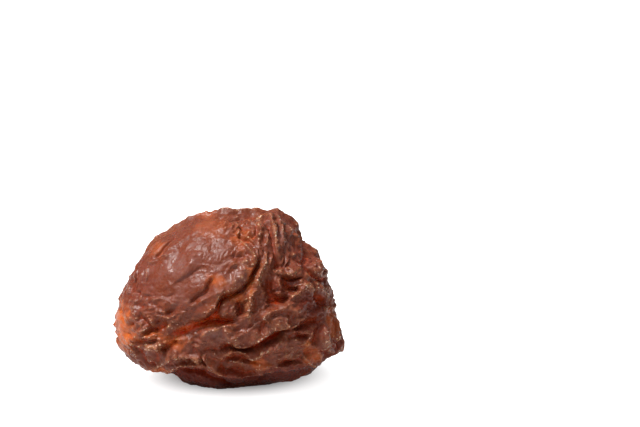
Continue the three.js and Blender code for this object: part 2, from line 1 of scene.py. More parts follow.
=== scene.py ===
"""One monukka raisin: its folded skin at full detail, its finish, and a plain studio round it.

The skin is drawn by the same rule as the part's solid, from the same outline, depths and fold routes, in
millimetres in the frame of the front view. It is then turned and scaled into the solid's own box.
"""

import logging
import math
from dataclasses import dataclass, field
from enum import Enum
from typing import Callable, Iterator, Sequence

import bpy
import numpy as np
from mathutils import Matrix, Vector


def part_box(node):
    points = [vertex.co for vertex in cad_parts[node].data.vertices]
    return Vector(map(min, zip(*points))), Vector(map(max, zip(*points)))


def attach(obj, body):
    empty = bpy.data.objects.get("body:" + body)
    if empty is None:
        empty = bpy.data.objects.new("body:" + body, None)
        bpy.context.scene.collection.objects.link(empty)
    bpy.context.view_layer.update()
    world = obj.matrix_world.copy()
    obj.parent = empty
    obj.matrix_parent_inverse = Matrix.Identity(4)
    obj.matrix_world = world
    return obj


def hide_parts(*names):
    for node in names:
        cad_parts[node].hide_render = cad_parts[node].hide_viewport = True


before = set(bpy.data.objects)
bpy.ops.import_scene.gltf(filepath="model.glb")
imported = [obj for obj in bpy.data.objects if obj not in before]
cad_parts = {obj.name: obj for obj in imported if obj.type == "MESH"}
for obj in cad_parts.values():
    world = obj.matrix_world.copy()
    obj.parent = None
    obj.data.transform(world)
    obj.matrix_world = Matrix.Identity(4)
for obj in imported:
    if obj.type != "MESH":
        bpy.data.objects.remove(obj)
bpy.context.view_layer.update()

LOG = logging.getLogger("raisin")
MM = 0.001
NODE = "raisin"

Array = np.ndarray
Point2 = tuple[float, float]


def smoothstep(low: float, high: float, x: Array) -> Array:
    """Ease from 0 at low to 1 at high.

    Args:
        low: The value where the step starts.
        high: The value where it ends, which may be less than low.
        x: The values to ease.

    Returns:
        The eased values, 0 to 1.
    """
    t = np.clip((x - low) / (high - low), 0, 1)
    return t * t * (3 - 2 * t)


def spline(p0: Array, p1: Array, p2: Array, p3: Array, f: Array | float) -> Array:
    """Run a Catmull-Rom curve between p1 and p2.

    Args:
        p0: The point before the stretch.
        p1: The point where the stretch starts.
        p2: The point where it ends.
        p3: The point after it.
        f: How far along the stretch, 0 to 1.

    Returns:
        The curve's point.
    """
    return p1 + 0.5 * f * (p2 - p0 + f * (2 * p0 - 5 * p1 + 4 * p2 - p3 + f * (3 * (p1 - p2) + p3 - p0)))


def lengths(v: Array) -> Array:
    """Return the length of each row of v."""
    return np.sqrt(np.einsum("ij,ij->i", v, v))


def unit(v: Array) -> Array:
    """Return each row of v at length 1."""
    return v / lengths(v)[:, None]


class Grain:
    """Seeded noise in space, the same on every run."""

    MASK = 0xFFFFFFFF
    WAYS = 4

    @classmethod
    def cell_hash(cls, x: Array, y: Array, z: Array, seed: int) -> Array:
        """Draw a 32-bit whole number for each cell of a grid.

        Args:
            x: The cells' numbers along X.
            y: The cells' numbers along Y.
            z: The cells' numbers along Z.
            seed: A number that picks one set of draws.

        Returns:
            The draws.
        """
        h = (x * 374761393 + y * 668265263 + z * 1440662683 + seed * 2246822519) & cls.MASK
        h = h.astype(np.uint64)
        mask = np.uint64(cls.MASK)
        h = ((h ^ (h >> np.uint64(13))) * np.uint64(1274126177)) & mask
        h = ((h ^ (h >> np.uint64(16))) * np.uint64(2246822519)) & mask
        return h ^ (h >> np.uint64(15))

    @classmethod
    def thirds(cls, h: Array) -> Array:
        """Split each draw into three numbers, 0 to 1, one for each axis."""
        return np.stack([((h >> np.uint64(10 * k)) & np.uint64(1023)) / 1023.0 for k in range(3)], 1)

    @classmethod
    def noise(cls, p: Array, seed: int) -> Array:
        """Smooth gradient noise, of one cycle in one to two units.

        Args:
            p: Points, one to a row.
            seed: A number that picks one noise.

        Returns:
            A value for each point, about -1 to 1.
        """
        cell = np.floor(p).astype(np.int64)
        part = p - cell
        ease = part ** 3 * (part * (part * 6 - 15) + 10)
        total = np.zeros(len(p))
        for corner in range(8):
            step = np.array([corner & 1, (corner >> 1) & 1, (corner >> 2) & 1])
            at = cell + step
            slope = cls.thirds(cls.cell_hash(at[:, 0], at[:, 1], at[:, 2], seed)) * 2 - 1
            weight = np.prod(np.where(step == 1, ease, 1 - ease), axis=1)
            total += np.einsum("ij,ij->i", slope, part - step) * weight
        return total * 1.4

    @classmethod
    def wander(cls, p: Array, size: float, amount: float, seed: int) -> Array:
        """Move points about, so that what is drawn at them wanders.

        Args:
            p: Points, one to a row.
            size: The noise's cell size.
            amount: How far a point may move.
            seed: A number that picks one noise.

        Returns:
            The moved points.
        """
        return p + amount * np.stack([cls.noise(p / size, seed + k) for k in range(3)], 1)

    @classmethod
    def ridge(cls, p: Array, seed: int, blunt: float = 0.07) -> Array:
        """Thin crests with smooth dents between them.

        Args:
            p: Points, one to a row.
            seed: A number that picks one noise.
            blunt: How round the crests are.

        Returns:
            A value for each point, up to about 0.85 on a crest.
        """
        return 1 - 2.2 * np.hypot(cls.noise(p, seed), blunt)

    @classmethod
    def crests(cls, p: Array, long: float, short: float, run: Array, seed: int) -> Array:
        """Crests that are long in the direction they run in and short across it.

        Args:
            p: Points, one to a row.
            long: The crests' length in cells.
            short: Their spacing.
            run: The angle that they run at in the front view, at each point.
            seed: A number that picks one noise.

        Returns:
            A value for each point.
        """
        middle = 1.6 / (long + short)
        total = np.zeros(len(p))
        shares = np.zeros(len(p))
        for k in range(cls.WAYS):
            angle = math.pi * k / cls.WAYS
            share = np.maximum(np.cos(2 * (run - angle)), 0) ** 2 + 0.02
            c, s = math.cos(angle), math.sin(angle)
            turned = np.stack([p[:, 0] * c + p[:, 2] * s, p[:, 1], p[:, 2] * c - p[:, 0] * s], 1)
            total += share * cls.ridge(turned * [1 / long, middle, 1 / short], seed + k)
            shares += share
        return total / shares

    @classmethod
    def pebbles(cls, p: Array, seed: int) -> Array:
        """Rounded pebbles that fill space.

        Args:
            p: Points, one to a row, with one pebble to a unit.
            seed: A number that picks one set of pebbles.

        Returns:
            A value for each point, 1 in the middle of a pebble and 0 in the seams.
        """
        cell = np.floor(p).astype(np.int64)
        nearest = np.full(len(p), 9.0)
        second = np.full(len(p), 9.0)
        for corner in range(27):
            at = cell + np.array([corner % 3 - 1, corner // 3 % 3 - 1, corner // 9 - 1])
            middle = at + cls.thirds(cls.cell_hash(at[:, 0], at[:, 1], at[:, 2], seed))
            away = lengths(p - middle)
            second = np.minimum(second, np.maximum(nearest, away))
            nearest = np.minimum(nearest, away)
        return smoothstep(0, 0.45, second - nearest)


@dataclass(frozen=True)
class Berry:
    """The smooth body that the skin is folded over, in millimetres, X across, Y into view and Z up."""

    front_depth: float = 6.0
    back_depth: float = 5.8
    fullness: float = 2.25
    inset: float = 0.2
    steps: int = 48
    outline: tuple[Point2, ...] = (
        (-8.9, -1.0), (-9.0, -1.9), (-8.8, -3.3), (-8.1, -4.5), (-7.3, -5.2), (-6.3, -5.7), (-5.3, -5.9),
        (-4.2, -6.0), (-3.6, -6.5), (-2.6, -7.0), (-1.4, -7.3), (-0.5, -7.2), (0.5, -7.1), (1.7, -6.9),
        (3.2, -6.6), (4.3, -6.6), (5.3, -6.5), (6.0, -6.1), (6.7, -5.6), (7.7, -4.7), (8.5, -4.0),
        (8.9, -3.6), (8.7, -3.0), (8.6, -1.8), (8.3, -0.3), (7.9, 1.1), (7.7, 2.3), (6.8, 3.1), (5.6, 4.3),
        (5.0, 5.6), (4.5, 6.2), (4.0, 6.6), (3.4, 6.8), (2.4, 6.7), (1.5, 6.5), (0.5, 6.6), (-0.9, 6.6),
        (-2.6, 6.3), (-3.8, 5.6), (-5.2, 4.8), (-6.1, 4.2), (-6.7, 3.4), (-7.7, 2.1), (-8.2, 1.0), (-8.7, -0.1),
    )

    def radii(self) -> Array:
        """Return the outline's radius at even steps round it, from the angle of -X."""
        points = np.array(self.outline)
        angles = np.arctan2(points[:, 1], points[:, 0])
        order = np.argsort(angles)
        angles = angles[order]
        turn = 2 * math.pi
        ring = np.concatenate([angles - turn, angles, angles + turn])
        grid = np.arange(self.steps) / self.steps * turn - math.pi
        return np.interp(grid, ring, np.tile(lengths(points)[order], 3))

    def outline_radius(self, x: Array, up: Array) -> Array:
        """Find the outline's radius in the direction of each point.

        Args:
            x: The points' places across.
            up: Their heights.

        Returns:
            The radii.
        """
        radii = self.radii()
        t = (np.arctan2(up, x) + math.pi) / (2 * math.pi) * self.steps
        i = np.floor(t).astype(int)
        p0, p1, p2, p3 = (radii[(i + k) % self.steps] for k in (-1, 0, 1, 2))
        return spline(p0, p1, p2, p3, t - i)

    def level(self, p: Array) -> Array:
        """Return 1 for points on the body, less for those inside it and more for those outside."""
        share = np.hypot(p[:, 0], p[:, 2]) / self.outline_radius(p[:, 0], p[:, 2])
        depth = np.where(p[:, 1] < 0, self.front_depth, self.back_depth)
        return share ** self.fullness + (np.abs(p[:, 1]) / depth) ** self.fullness

    def surface(self, directions: Array) -> Array:
        """Return the body's points in the given directions from its centre."""
        return directions * (self.level(directions) ** (-1 / self.fullness))[:, None]

    def normals(self, p: Array) -> Array:
        """Return the body's outward normals at points of its surface."""
        reach = 0.02
        slopes = [self.level(p + reach * axis) - self.level(p - reach * axis) for axis in np.eye(3)]
        return unit(np.stack(slopes, 1))

    def front(self, route: Array) -> Array:
        """Return the points of the front at the places across and heights of a route."""
        share = np.minimum(lengths(route) / self.outline_radius(route[:, 0], route[:, 1]), 0.985)
        y = -self.front_depth * (1 - share ** self.fullness) ** (1 / self.fullness)
        return np.stack([route[:, 0], y, route[:, 1]], 1)

    def belt(self, route: Array) -> Array:
        """Find the body's points on a belt round its long axis.

        Args:
            route: Rows of the share of the way to the berry's ends, and the angle round it in degrees.

        Returns:
            The points.
        """
        lean = route[:, 0] * math.pi / 2
        turn = np.radians(route[:, 1])
        out = np.cos(lean)
        return self.surface(np.stack([np.sin(lean), -out * np.cos(turn), out * np.sin(turn)], 1))


@dataclass(frozen=True)
class Hem:
    """The lower edge of the skin's skirt, which hangs over the body below it."""

    edge: tuple[Point2, ...] = (
        (-6.2, -5.6), (-5.1, -5.8), (-4.4, -5.5), (-3.7, -5.1), (-2.8, -5.0), (-1.8, -5.0), (-1.4, -5.3),
        (-0.9, -5.6), (-0.1, -5.8), (0.9, -5.8), (1.8, -5.8), (2.9, -5.6), (3.5, -5.5), (4.6, -5.5),
        (5.6, -5.4), (6.6, -5.3),
    )
    left_end: Point2 = (-6.8, -5.4)
    right_end: Point2 = (7.2, 5.8)
    overhang: float = 0.8
    lip: float = 0.3

    def below(self, x: Array, up: Array) -> Array:
        """Return how far each point lies below the edge, negative above it."""
        across, height = np.array(self.edge).T
        return np.interp(x, across, height) - up

    def reach(self, x: Array) -> Array:
        """Return how fully the skirt hangs over at each point, which fades out at its ends."""
        return smoothstep(*self.left_end, x) * smoothstep(*self.right_end, x)

    def push(self, x: Array, up: Array) -> Array:
        """Find how far back the skin goes from the view, behind the edge.

        Args:
            x: The points' places across.
            up: Their heights.

        Returns:
            The distance that each moves back.
        """
        below = self.below(x, up)
        edge = self.lip * np.exp(-((below + 0.2) / 0.3) ** 2)
        return self.reach(x) * (self.overhang * smoothstep(0, 0.3, below) - edge)


class Place(Enum):
    """What a fold's route is measured on."""

    FRONT = "front"
    BELT = "belt"


@dataclass(frozen=True)
class Fold:
    """One crest or crease of the skin: its height, half widths left and right of its route, and lean."""

    name: str
    height: float
    widths: Point2
    route: tuple[Point2, ...]
    lean: float = 0.0
    place: Place = Place.FRONT

    REACH = 2.6
    CURVE_STEPS = 5

    def smooth_route(self) -> Array:
        """Return the route with its corners smoothed, one point to a row."""
        points = np.array(self.route)
        points = np.vstack([2 * points[0] - points[1], points, 2 * points[-1] - points[-2]])
        parts = []
        for i in range(1, len(points) - 2):
            f = np.arange(self.CURVE_STEPS)[:, None] / self.CURVE_STEPS
            parts.append(spline(points[i - 1], points[i], points[i + 1], points[i + 2], f))
        return np.vstack([*parts, points[-2]])

    def lay(self, berry: Berry, line: Array, p: Array, lift: Array, push: Array, flow: Array) -> None:
        """Add this fold to the skin.

        Args:
            berry: The body that the fold lies on.
            line: The fold's line on the body.
            p: Points of the body, one to a row.
            lift: How far the skin stands off the body at each, which is changed.
            push: How far it is pushed sideways there, which is changed.
            flow: The cosine and sine of twice the angle that the folds near it run at, which are changed.
        """
        near = ((p > line.min(0) - self.REACH) & (p < line.max(0) + self.REACH)).all(1)
        chosen = np.nonzero(near)[0]
        if not len(chosen):
            return
        at = p[chosen]
        best = np.full(len(at), np.inf)
        run = np.zeros(len(at))
        side = np.zeros(len(at))
        right = np.zeros((len(at), 3))
        heading = np.zeros((len(at), 3))
        along = np.diff(line, axis=0)
        rights = unit(np.cross(unit(along), berry.normals(line[:-1])))
        for i, (start, stretch) in enumerate(zip(line, along)):
            off = at - start
            t = np.clip(off @ stretch / (stretch @ stretch), 0, 1)
            gap = off - t[:, None] * stretch
            squared = np.einsum("ij,ij->i", gap, gap)
            closer = squared < best
            best[closer] = squared[closer]
            run[closer] = (i + t[closer]) / len(along)
            side[closer] = (off @ rights[i])[closer]
            right[closer] = rights[i]
            heading[closer] = stretch
        away = np.sqrt(best)
        width = self.widths[0] + (self.widths[1] - self.widths[0]) * smoothstep(-0.15, 0.15, side)
        ends = smoothstep(0, 0.22, np.minimum(run, 1 - run))
        lift[chosen] += self.height * np.exp(-(away / width) ** 1.4) * ends
        twice = 2 * np.arctan2(heading[:, 2], heading[:, 0])
        weight = abs(self.height) * ends * np.exp(-away)
        flow[chosen] += np.stack([np.cos(twice), np.sin(twice)], 1) * weight[:, None]
        if self.lean:
            push[chosen] += right * (self.lean * np.exp(-((away / 0.5) ** 2)) * ends)[:, None]


FRONT_FOLDS = (
    Fold("dome lip", 0.5, (0.3, 1.3), (
        (0.1, 4.2), (1.1, 4.3), (2.0, 3.8), (2.2, 3.0), (1.8, 2.4), (1.5, 1.6), (0.7, 0.8), (-0.4, 0.5),
        (-1.1, -0.5), (-2.0, -1.4), (-3.3, -2.1)), lean=-0.3),
    Fold("dome crease", -0.85, (0.28, 0.26), (
        (2.4, 3.6), (2.4, 3.0), (2.0, 2.1), (1.5, 1.3), (0.7, 0.6), (-0.1, 0.3), (-0.5, -0.1), (-0.8, -0.8),
        (-1.5, -1.3), (-2.7, -1.9))),
    Fold("dome slit", -0.45, (0.16, 0.3), (
        (-2.9, -0.5), (-2.4, 0.2), (-1.6, 0.7), (-1.3, 1.3), (-0.9, 1.8))),
    Fold("second crest", 0.6, (0.3, 0.3), (
        (3.1, 3.7), (3.0, 3.0), (2.7, 2.3), (2.3, 1.6), (2.2, 1.0), (1.7, 0.3), (1.8, -0.1), (1.6, -0.7),
        (1.6, -1.1), (1.3, -1.5))),
    Fold("neck crease", -0.75, (0.22, 0.22), (
        (2.9, 6.3), (3.2, 5.1), (3.4, 4.2), (3.6, 3.7), (3.7, 3.1), (3.7, 2.5), (3.8, 2.1))),
    Fold("inner hump crest", 0.35, (0.22, 0.3), (
        (3.2, 6.9), (3.4, 6.2), (3.6, 5.5), (3.6, 4.7), (3.7, 3.9), (3.8, 3.1), (3.9, 2.4))),
    Fold("inner hump crease", -0.2, (0.16, 0.16), ((3.6, 6.3), (3.8, 5.8), (3.8, 5.1), (3.8, 4.4))),
    Fold("middle hump crest", 0.2, (0.24, 0.24), (
        (3.6, 6.8), (4.0, 6.2), (4.2, 5.6), (4.2, 4.9), (4.1, 4.2), (4.2, 3.6))),
    Fold("outer hump crease", -0.35, (0.2, 0.2), (
        (4.1, 6.5), (4.5, 5.9), (4.9, 5.1), (5.0, 4.5), (5.0, 3.9))),
    Fold("outer hump crest", 0.3, (0.2, 0.35), ((4.5, 5.8), (5.0, 5.2), (5.2, 4.6), (5.4, 4.1))),
    Fold("hump bulge", 0.35, (0.5, 0.5), ((5.3, 5.1), (5.6, 4.7), (5.9, 4.3))),
    Fold("lobe hollow", -0.7, (0.4, 0.35), ((5.5, 4.1), (5.8, 3.5), (5.7, 2.9), (5.5, 2.4))),
    Fold("lobe", 0.45, (0.7, 0.7), ((6.6, 3.0), (7.0, 2.6), (7.4, 2.0))),
    Fold("under the lobe", -0.65, (0.22, 0.3), (
        (5.8, 2.6), (6.2, 1.9), (6.8, 1.5), (7.6, 1.3), (8.0, 1.0))),
    Fold("hump lip", 0.45, (0.35, 0.2), (
        (3.7, 2.6), (3.9, 2.1), (4.3, 2.0), (4.9, 2.0), (5.3, 2.1), (5.8, 2.1)), lean=0.15),
    Fold("under the hump", -0.7, (0.22, 0.3), ((4.0, 1.8), (4.5, 1.6), (5.0, 1.6), (5.8, 1.8))),
    Fold("long valley", -1.0, (0.36, 0.4), (
        (1.2, -1.5), (0.4, -1.5), (-0.3, -1.5), (-0.9, -1.4), (-1.8, -1.7), (-2.7, -2.0), (-3.8, -2.5),
        (-4.7, -3.1))),
    Fold("pocket", -0.55, (0.25, 0.3), ((0.9, 0.2), (0.9, -0.3), (1.0, -0.8), (1.1, -1.2))),
    Fold("inner tongue", 0.2, (0.45, 0.4), ((-0.7, -0.9), (-0.1, -0.8), (0.4, -0.9), (0.8, -1.2))),
    Fold("third crest", 0.5, (0.7, 0.22), (
        (1.2, -1.8), (0.5, -1.8), (-0.2, -1.9), (-0.8, -2.0), (-1.4, -2.3), (-1.8, -2.6),
        (-2.1, -3.1)), lean=0.2),
    Fold("right fall", -0.6, (0.3, 0.3), (
        (3.4, 1.9), (3.1, 1.3), (3.2, 0.6), (3.6, 0.2), (4.1, 0.0), (4.7, 0.4))),
    Fold("right fall crest", 0.35, (0.22, 0.22), ((3.9, 1.7), (4.1, 1.2), (4.1, 0.7), (3.8, 0.3))),
    Fold("fourth lip", 0.6, (0.9, 0.22), (
        (-0.5, -3.1), (0.1, -3.2), (0.8, -3.4), (1.3, -3.4), (1.9, -3.3), (2.6, -2.9), (3.5, -2.3),
        (4.3, -2.1), (5.1, -1.7), (5.8, -1.5)), lean=0.3),
    Fold("fourth crease", -0.85, (0.22, 0.25), (
        (-0.9, -4.3), (-0.4, -3.6), (0.1, -3.4), (0.7, -3.6), (1.3, -3.6), (2.0, -3.5), (2.7, -3.1),
        (3.4, -2.7), (4.0, -2.3), (4.5, -2.4))),
    Fold("fifth lip", 0.55, (0.3, 0.22), (
        (-1.2, -5.0), (-0.6, -4.6), (-0.1, -4.2), (0.4, -3.9), (1.0, -3.9), (1.4, -4.1), (1.7, -4.4),
        (2.1, -4.5), (2.5, -4.3), (2.9, -4.0), (3.5, -3.8), (4.2, -3.6), (4.8, -3.2),
        (5.4, -3.1)), lean=0.2),
    Fold("fifth crease", -0.6, (0.22, 0.3), (
        (-1.1, -4.8), (-0.5, -4.7), (0.0, -4.4), (0.6, -4.3), (1.2, -4.4), (1.8, -4.6), (2.3, -4.8),
        (2.9, -4.6))),
    Fold("sixth lip", 0.25, (0.22, 0.2), (
        (-0.9, -5.1), (-0.2, -4.7), (0.9, -4.7), (2.0, -4.9), (3.0, -5.0))),
    Fold("skirt hollow", -0.65, (0.22, 0.22), (
        (-1.1, -5.4), (-0.4, -5.2), (0.7, -5.2), (1.6, -5.4), (2.3, -5.5))),
    Fold("skirt", 0.6, (0.35, 0.25), (
        (-7.9, -6.0), (-6.9, -5.9), (-6.3, -5.3), (-5.5, -5.1), (-4.7, -4.7), (-3.8, -4.4), (-3.0, -4.3),
        (-2.5, -4.5), (-1.9, -4.3), (-1.6, -4.8), (-1.3, -5.3), (-0.7, -5.6), (-0.2, -5.7), (0.1, -5.9),
        (0.8, -5.9), (1.4, -5.9), (2.0, -5.8), (2.6, -5.5), (3.2, -5.0)), lean=0.3),
    Fold("under the skirt", -1.0, (0.22, 0.3), (
        (-4.4, -5.5), (-3.5, -5.3), (-2.7, -5.3), (-1.9, -5.4), (-1.4, -5.8), (-0.7, -6.0), (0.0, -6.3),
        (0.8, -6.2), (1.6, -6.1), (2.3, -6.0), (3.1, -5.7))),
    Fold("right shelf", 0.45, (0.3, 0.25), (
        (4.7, 2.1), (5.1, 2.0), (5.7, 1.9), (6.0, 1.7), (6.3, 1.4)), lean=0.1),
    Fold("right hole", -0.75, (0.3, 0.3), ((4.2, 1.5), (4.6, 1.0), (5.0, 0.8), (5.4, 1.0))),
    Fold("right crest", 0.55, (0.3, 0.26), (
        (3.7, -0.4), (4.2, -0.2), (4.7, 0.1), (5.2, 0.4), (5.7, 0.9), (6.1, 1.2), (6.5, 0.7), (6.9, 0.7),
        (7.3, 0.9), (7.6, 1.0))),
    Fold("right fold", -0.65, (0.25, 0.28), (
        (2.9, -0.0), (3.4, -0.1), (3.9, -0.1), (4.4, 0.1), (4.9, 0.4))),
    Fold("dark hollow", -0.95, (0.45, 0.5), ((6.3, 0.2), (6.7, -0.0), (7.1, -0.3), (7.3, -0.7))),
    Fold("low right crest", 0.45, (0.3, 0.22), (
        (2.3, -1.2), (2.9, -1.1), (3.7, -0.8), (4.7, -0.5), (5.3, -0.9), (5.8, -0.7), (6.1, -0.3))),
    Fold("low right crease", -0.4, (0.25, 0.25), ((2.3, -2.5), (2.7, -1.9), (2.9, -1.5))),
    Fold("low right pocket", -0.75, (0.22, 0.3), (
        (4.9, -2.2), (5.4, -2.0), (6.0, -1.7), (6.5, -1.6), (6.9, -1.3))),
    Fold("low right lip", 0.4, (0.22, 0.22), (
        (3.5, -2.5), (4.2, -2.2), (4.9, -2.1), (5.3, -1.9), (5.8, -1.6), (6.3, -1.5))),
    Fold("below the pocket", 0.3, (0.25, 0.25), (
        (4.7, -2.3), (5.3, -2.3), (6.0, -2.4), (6.4, -2.6), (6.6, -2.2))),
    Fold("corner fold", -0.55, (0.25, 0.3), ((4.4, -2.9), (5.1, -2.8), (5.8, -2.7), (6.3, -2.8))),
    Fold("edge crease", -0.7, (0.22, 0.25), ((7.7, 1.0), (7.9, 0.3), (7.8, -0.4), (7.6, -1.1))),
    Fold("edge crest", 0.4, (0.25, 0.4), ((8.2, -0.5), (8.4, -1.3), (8.5, -2.0), (8.5, -2.7), (8.3, -3.0))),
    Fold("tip crease", -0.7, (0.22, 0.22), (
        (8.1, -3.0), (8.2, -3.5), (7.9, -4.1), (7.3, -4.5), (7.1, -4.7))),
    Fold("tip", 0.35, (0.4, 0.4), ((8.7, -3.1), (8.8, -3.5), (8.5, -4.1), (7.9, -4.6))),
    Fold("corner crest", 0.4, (0.28, 0.26), (
        (2.3, -4.2), (2.9, -3.9), (3.6, -3.7), (4.2, -3.3), (4.8, -3.0), (5.4, -3.0), (5.8, -3.2))),
    Fold("corner crease", -0.4, (0.18, 0.22), (
        (3.7, -5.1), (4.1, -4.7), (4.7, -4.6), (5.4, -4.5), (5.9, -4.4))),
    Fold("left crease", -0.65, (0.22, 0.3), (
        (-6.7, -2.6), (-6.0, -2.3), (-5.3, -2.2), (-4.9, -2.0), (-4.3, -1.4))),
    Fold("left plate edge", 0.35, (0.3, 0.16), ((-7.0, -2.2), (-6.7, -2.4), (-6.2, -2.1), (-6.2, -1.7))),
    Fold("left slit", -0.35, (0.2, 0.2), ((-6.9, -1.1), (-6.5, -1.3), (-6.1, -1.7), (-6.0, -2.2))),
    Fold("left lip", 0.3, (0.2, 0.2), ((-6.6, -2.8), (-6.1, -2.8), (-5.7, -2.6), (-5.2, -2.7))),
    Fold("below the left lip", -0.45, (0.2, 0.22), (
        (-7.2, -3.2), (-6.6, -3.1), (-5.9, -3.1), (-5.2, -3.0))),
    Fold("left lump", 0.45, (0.45, 0.45), ((-6.5, -3.4), (-5.9, -3.5), (-5.4, -3.7), (-5.6, -4.2))),
    Fold("left orange", -0.6, (0.22, 0.25), ((-5.2, -3.9), (-4.7, -3.5), (-4.2, -3.2), (-3.6, -3.0))),
    Fold("below the lump", -0.45, (0.25, 0.25), (
        (-7.1, -3.9), (-6.6, -3.9), (-6.2, -4.7), (-5.7, -4.8), (-5.3, -5.0))),
)

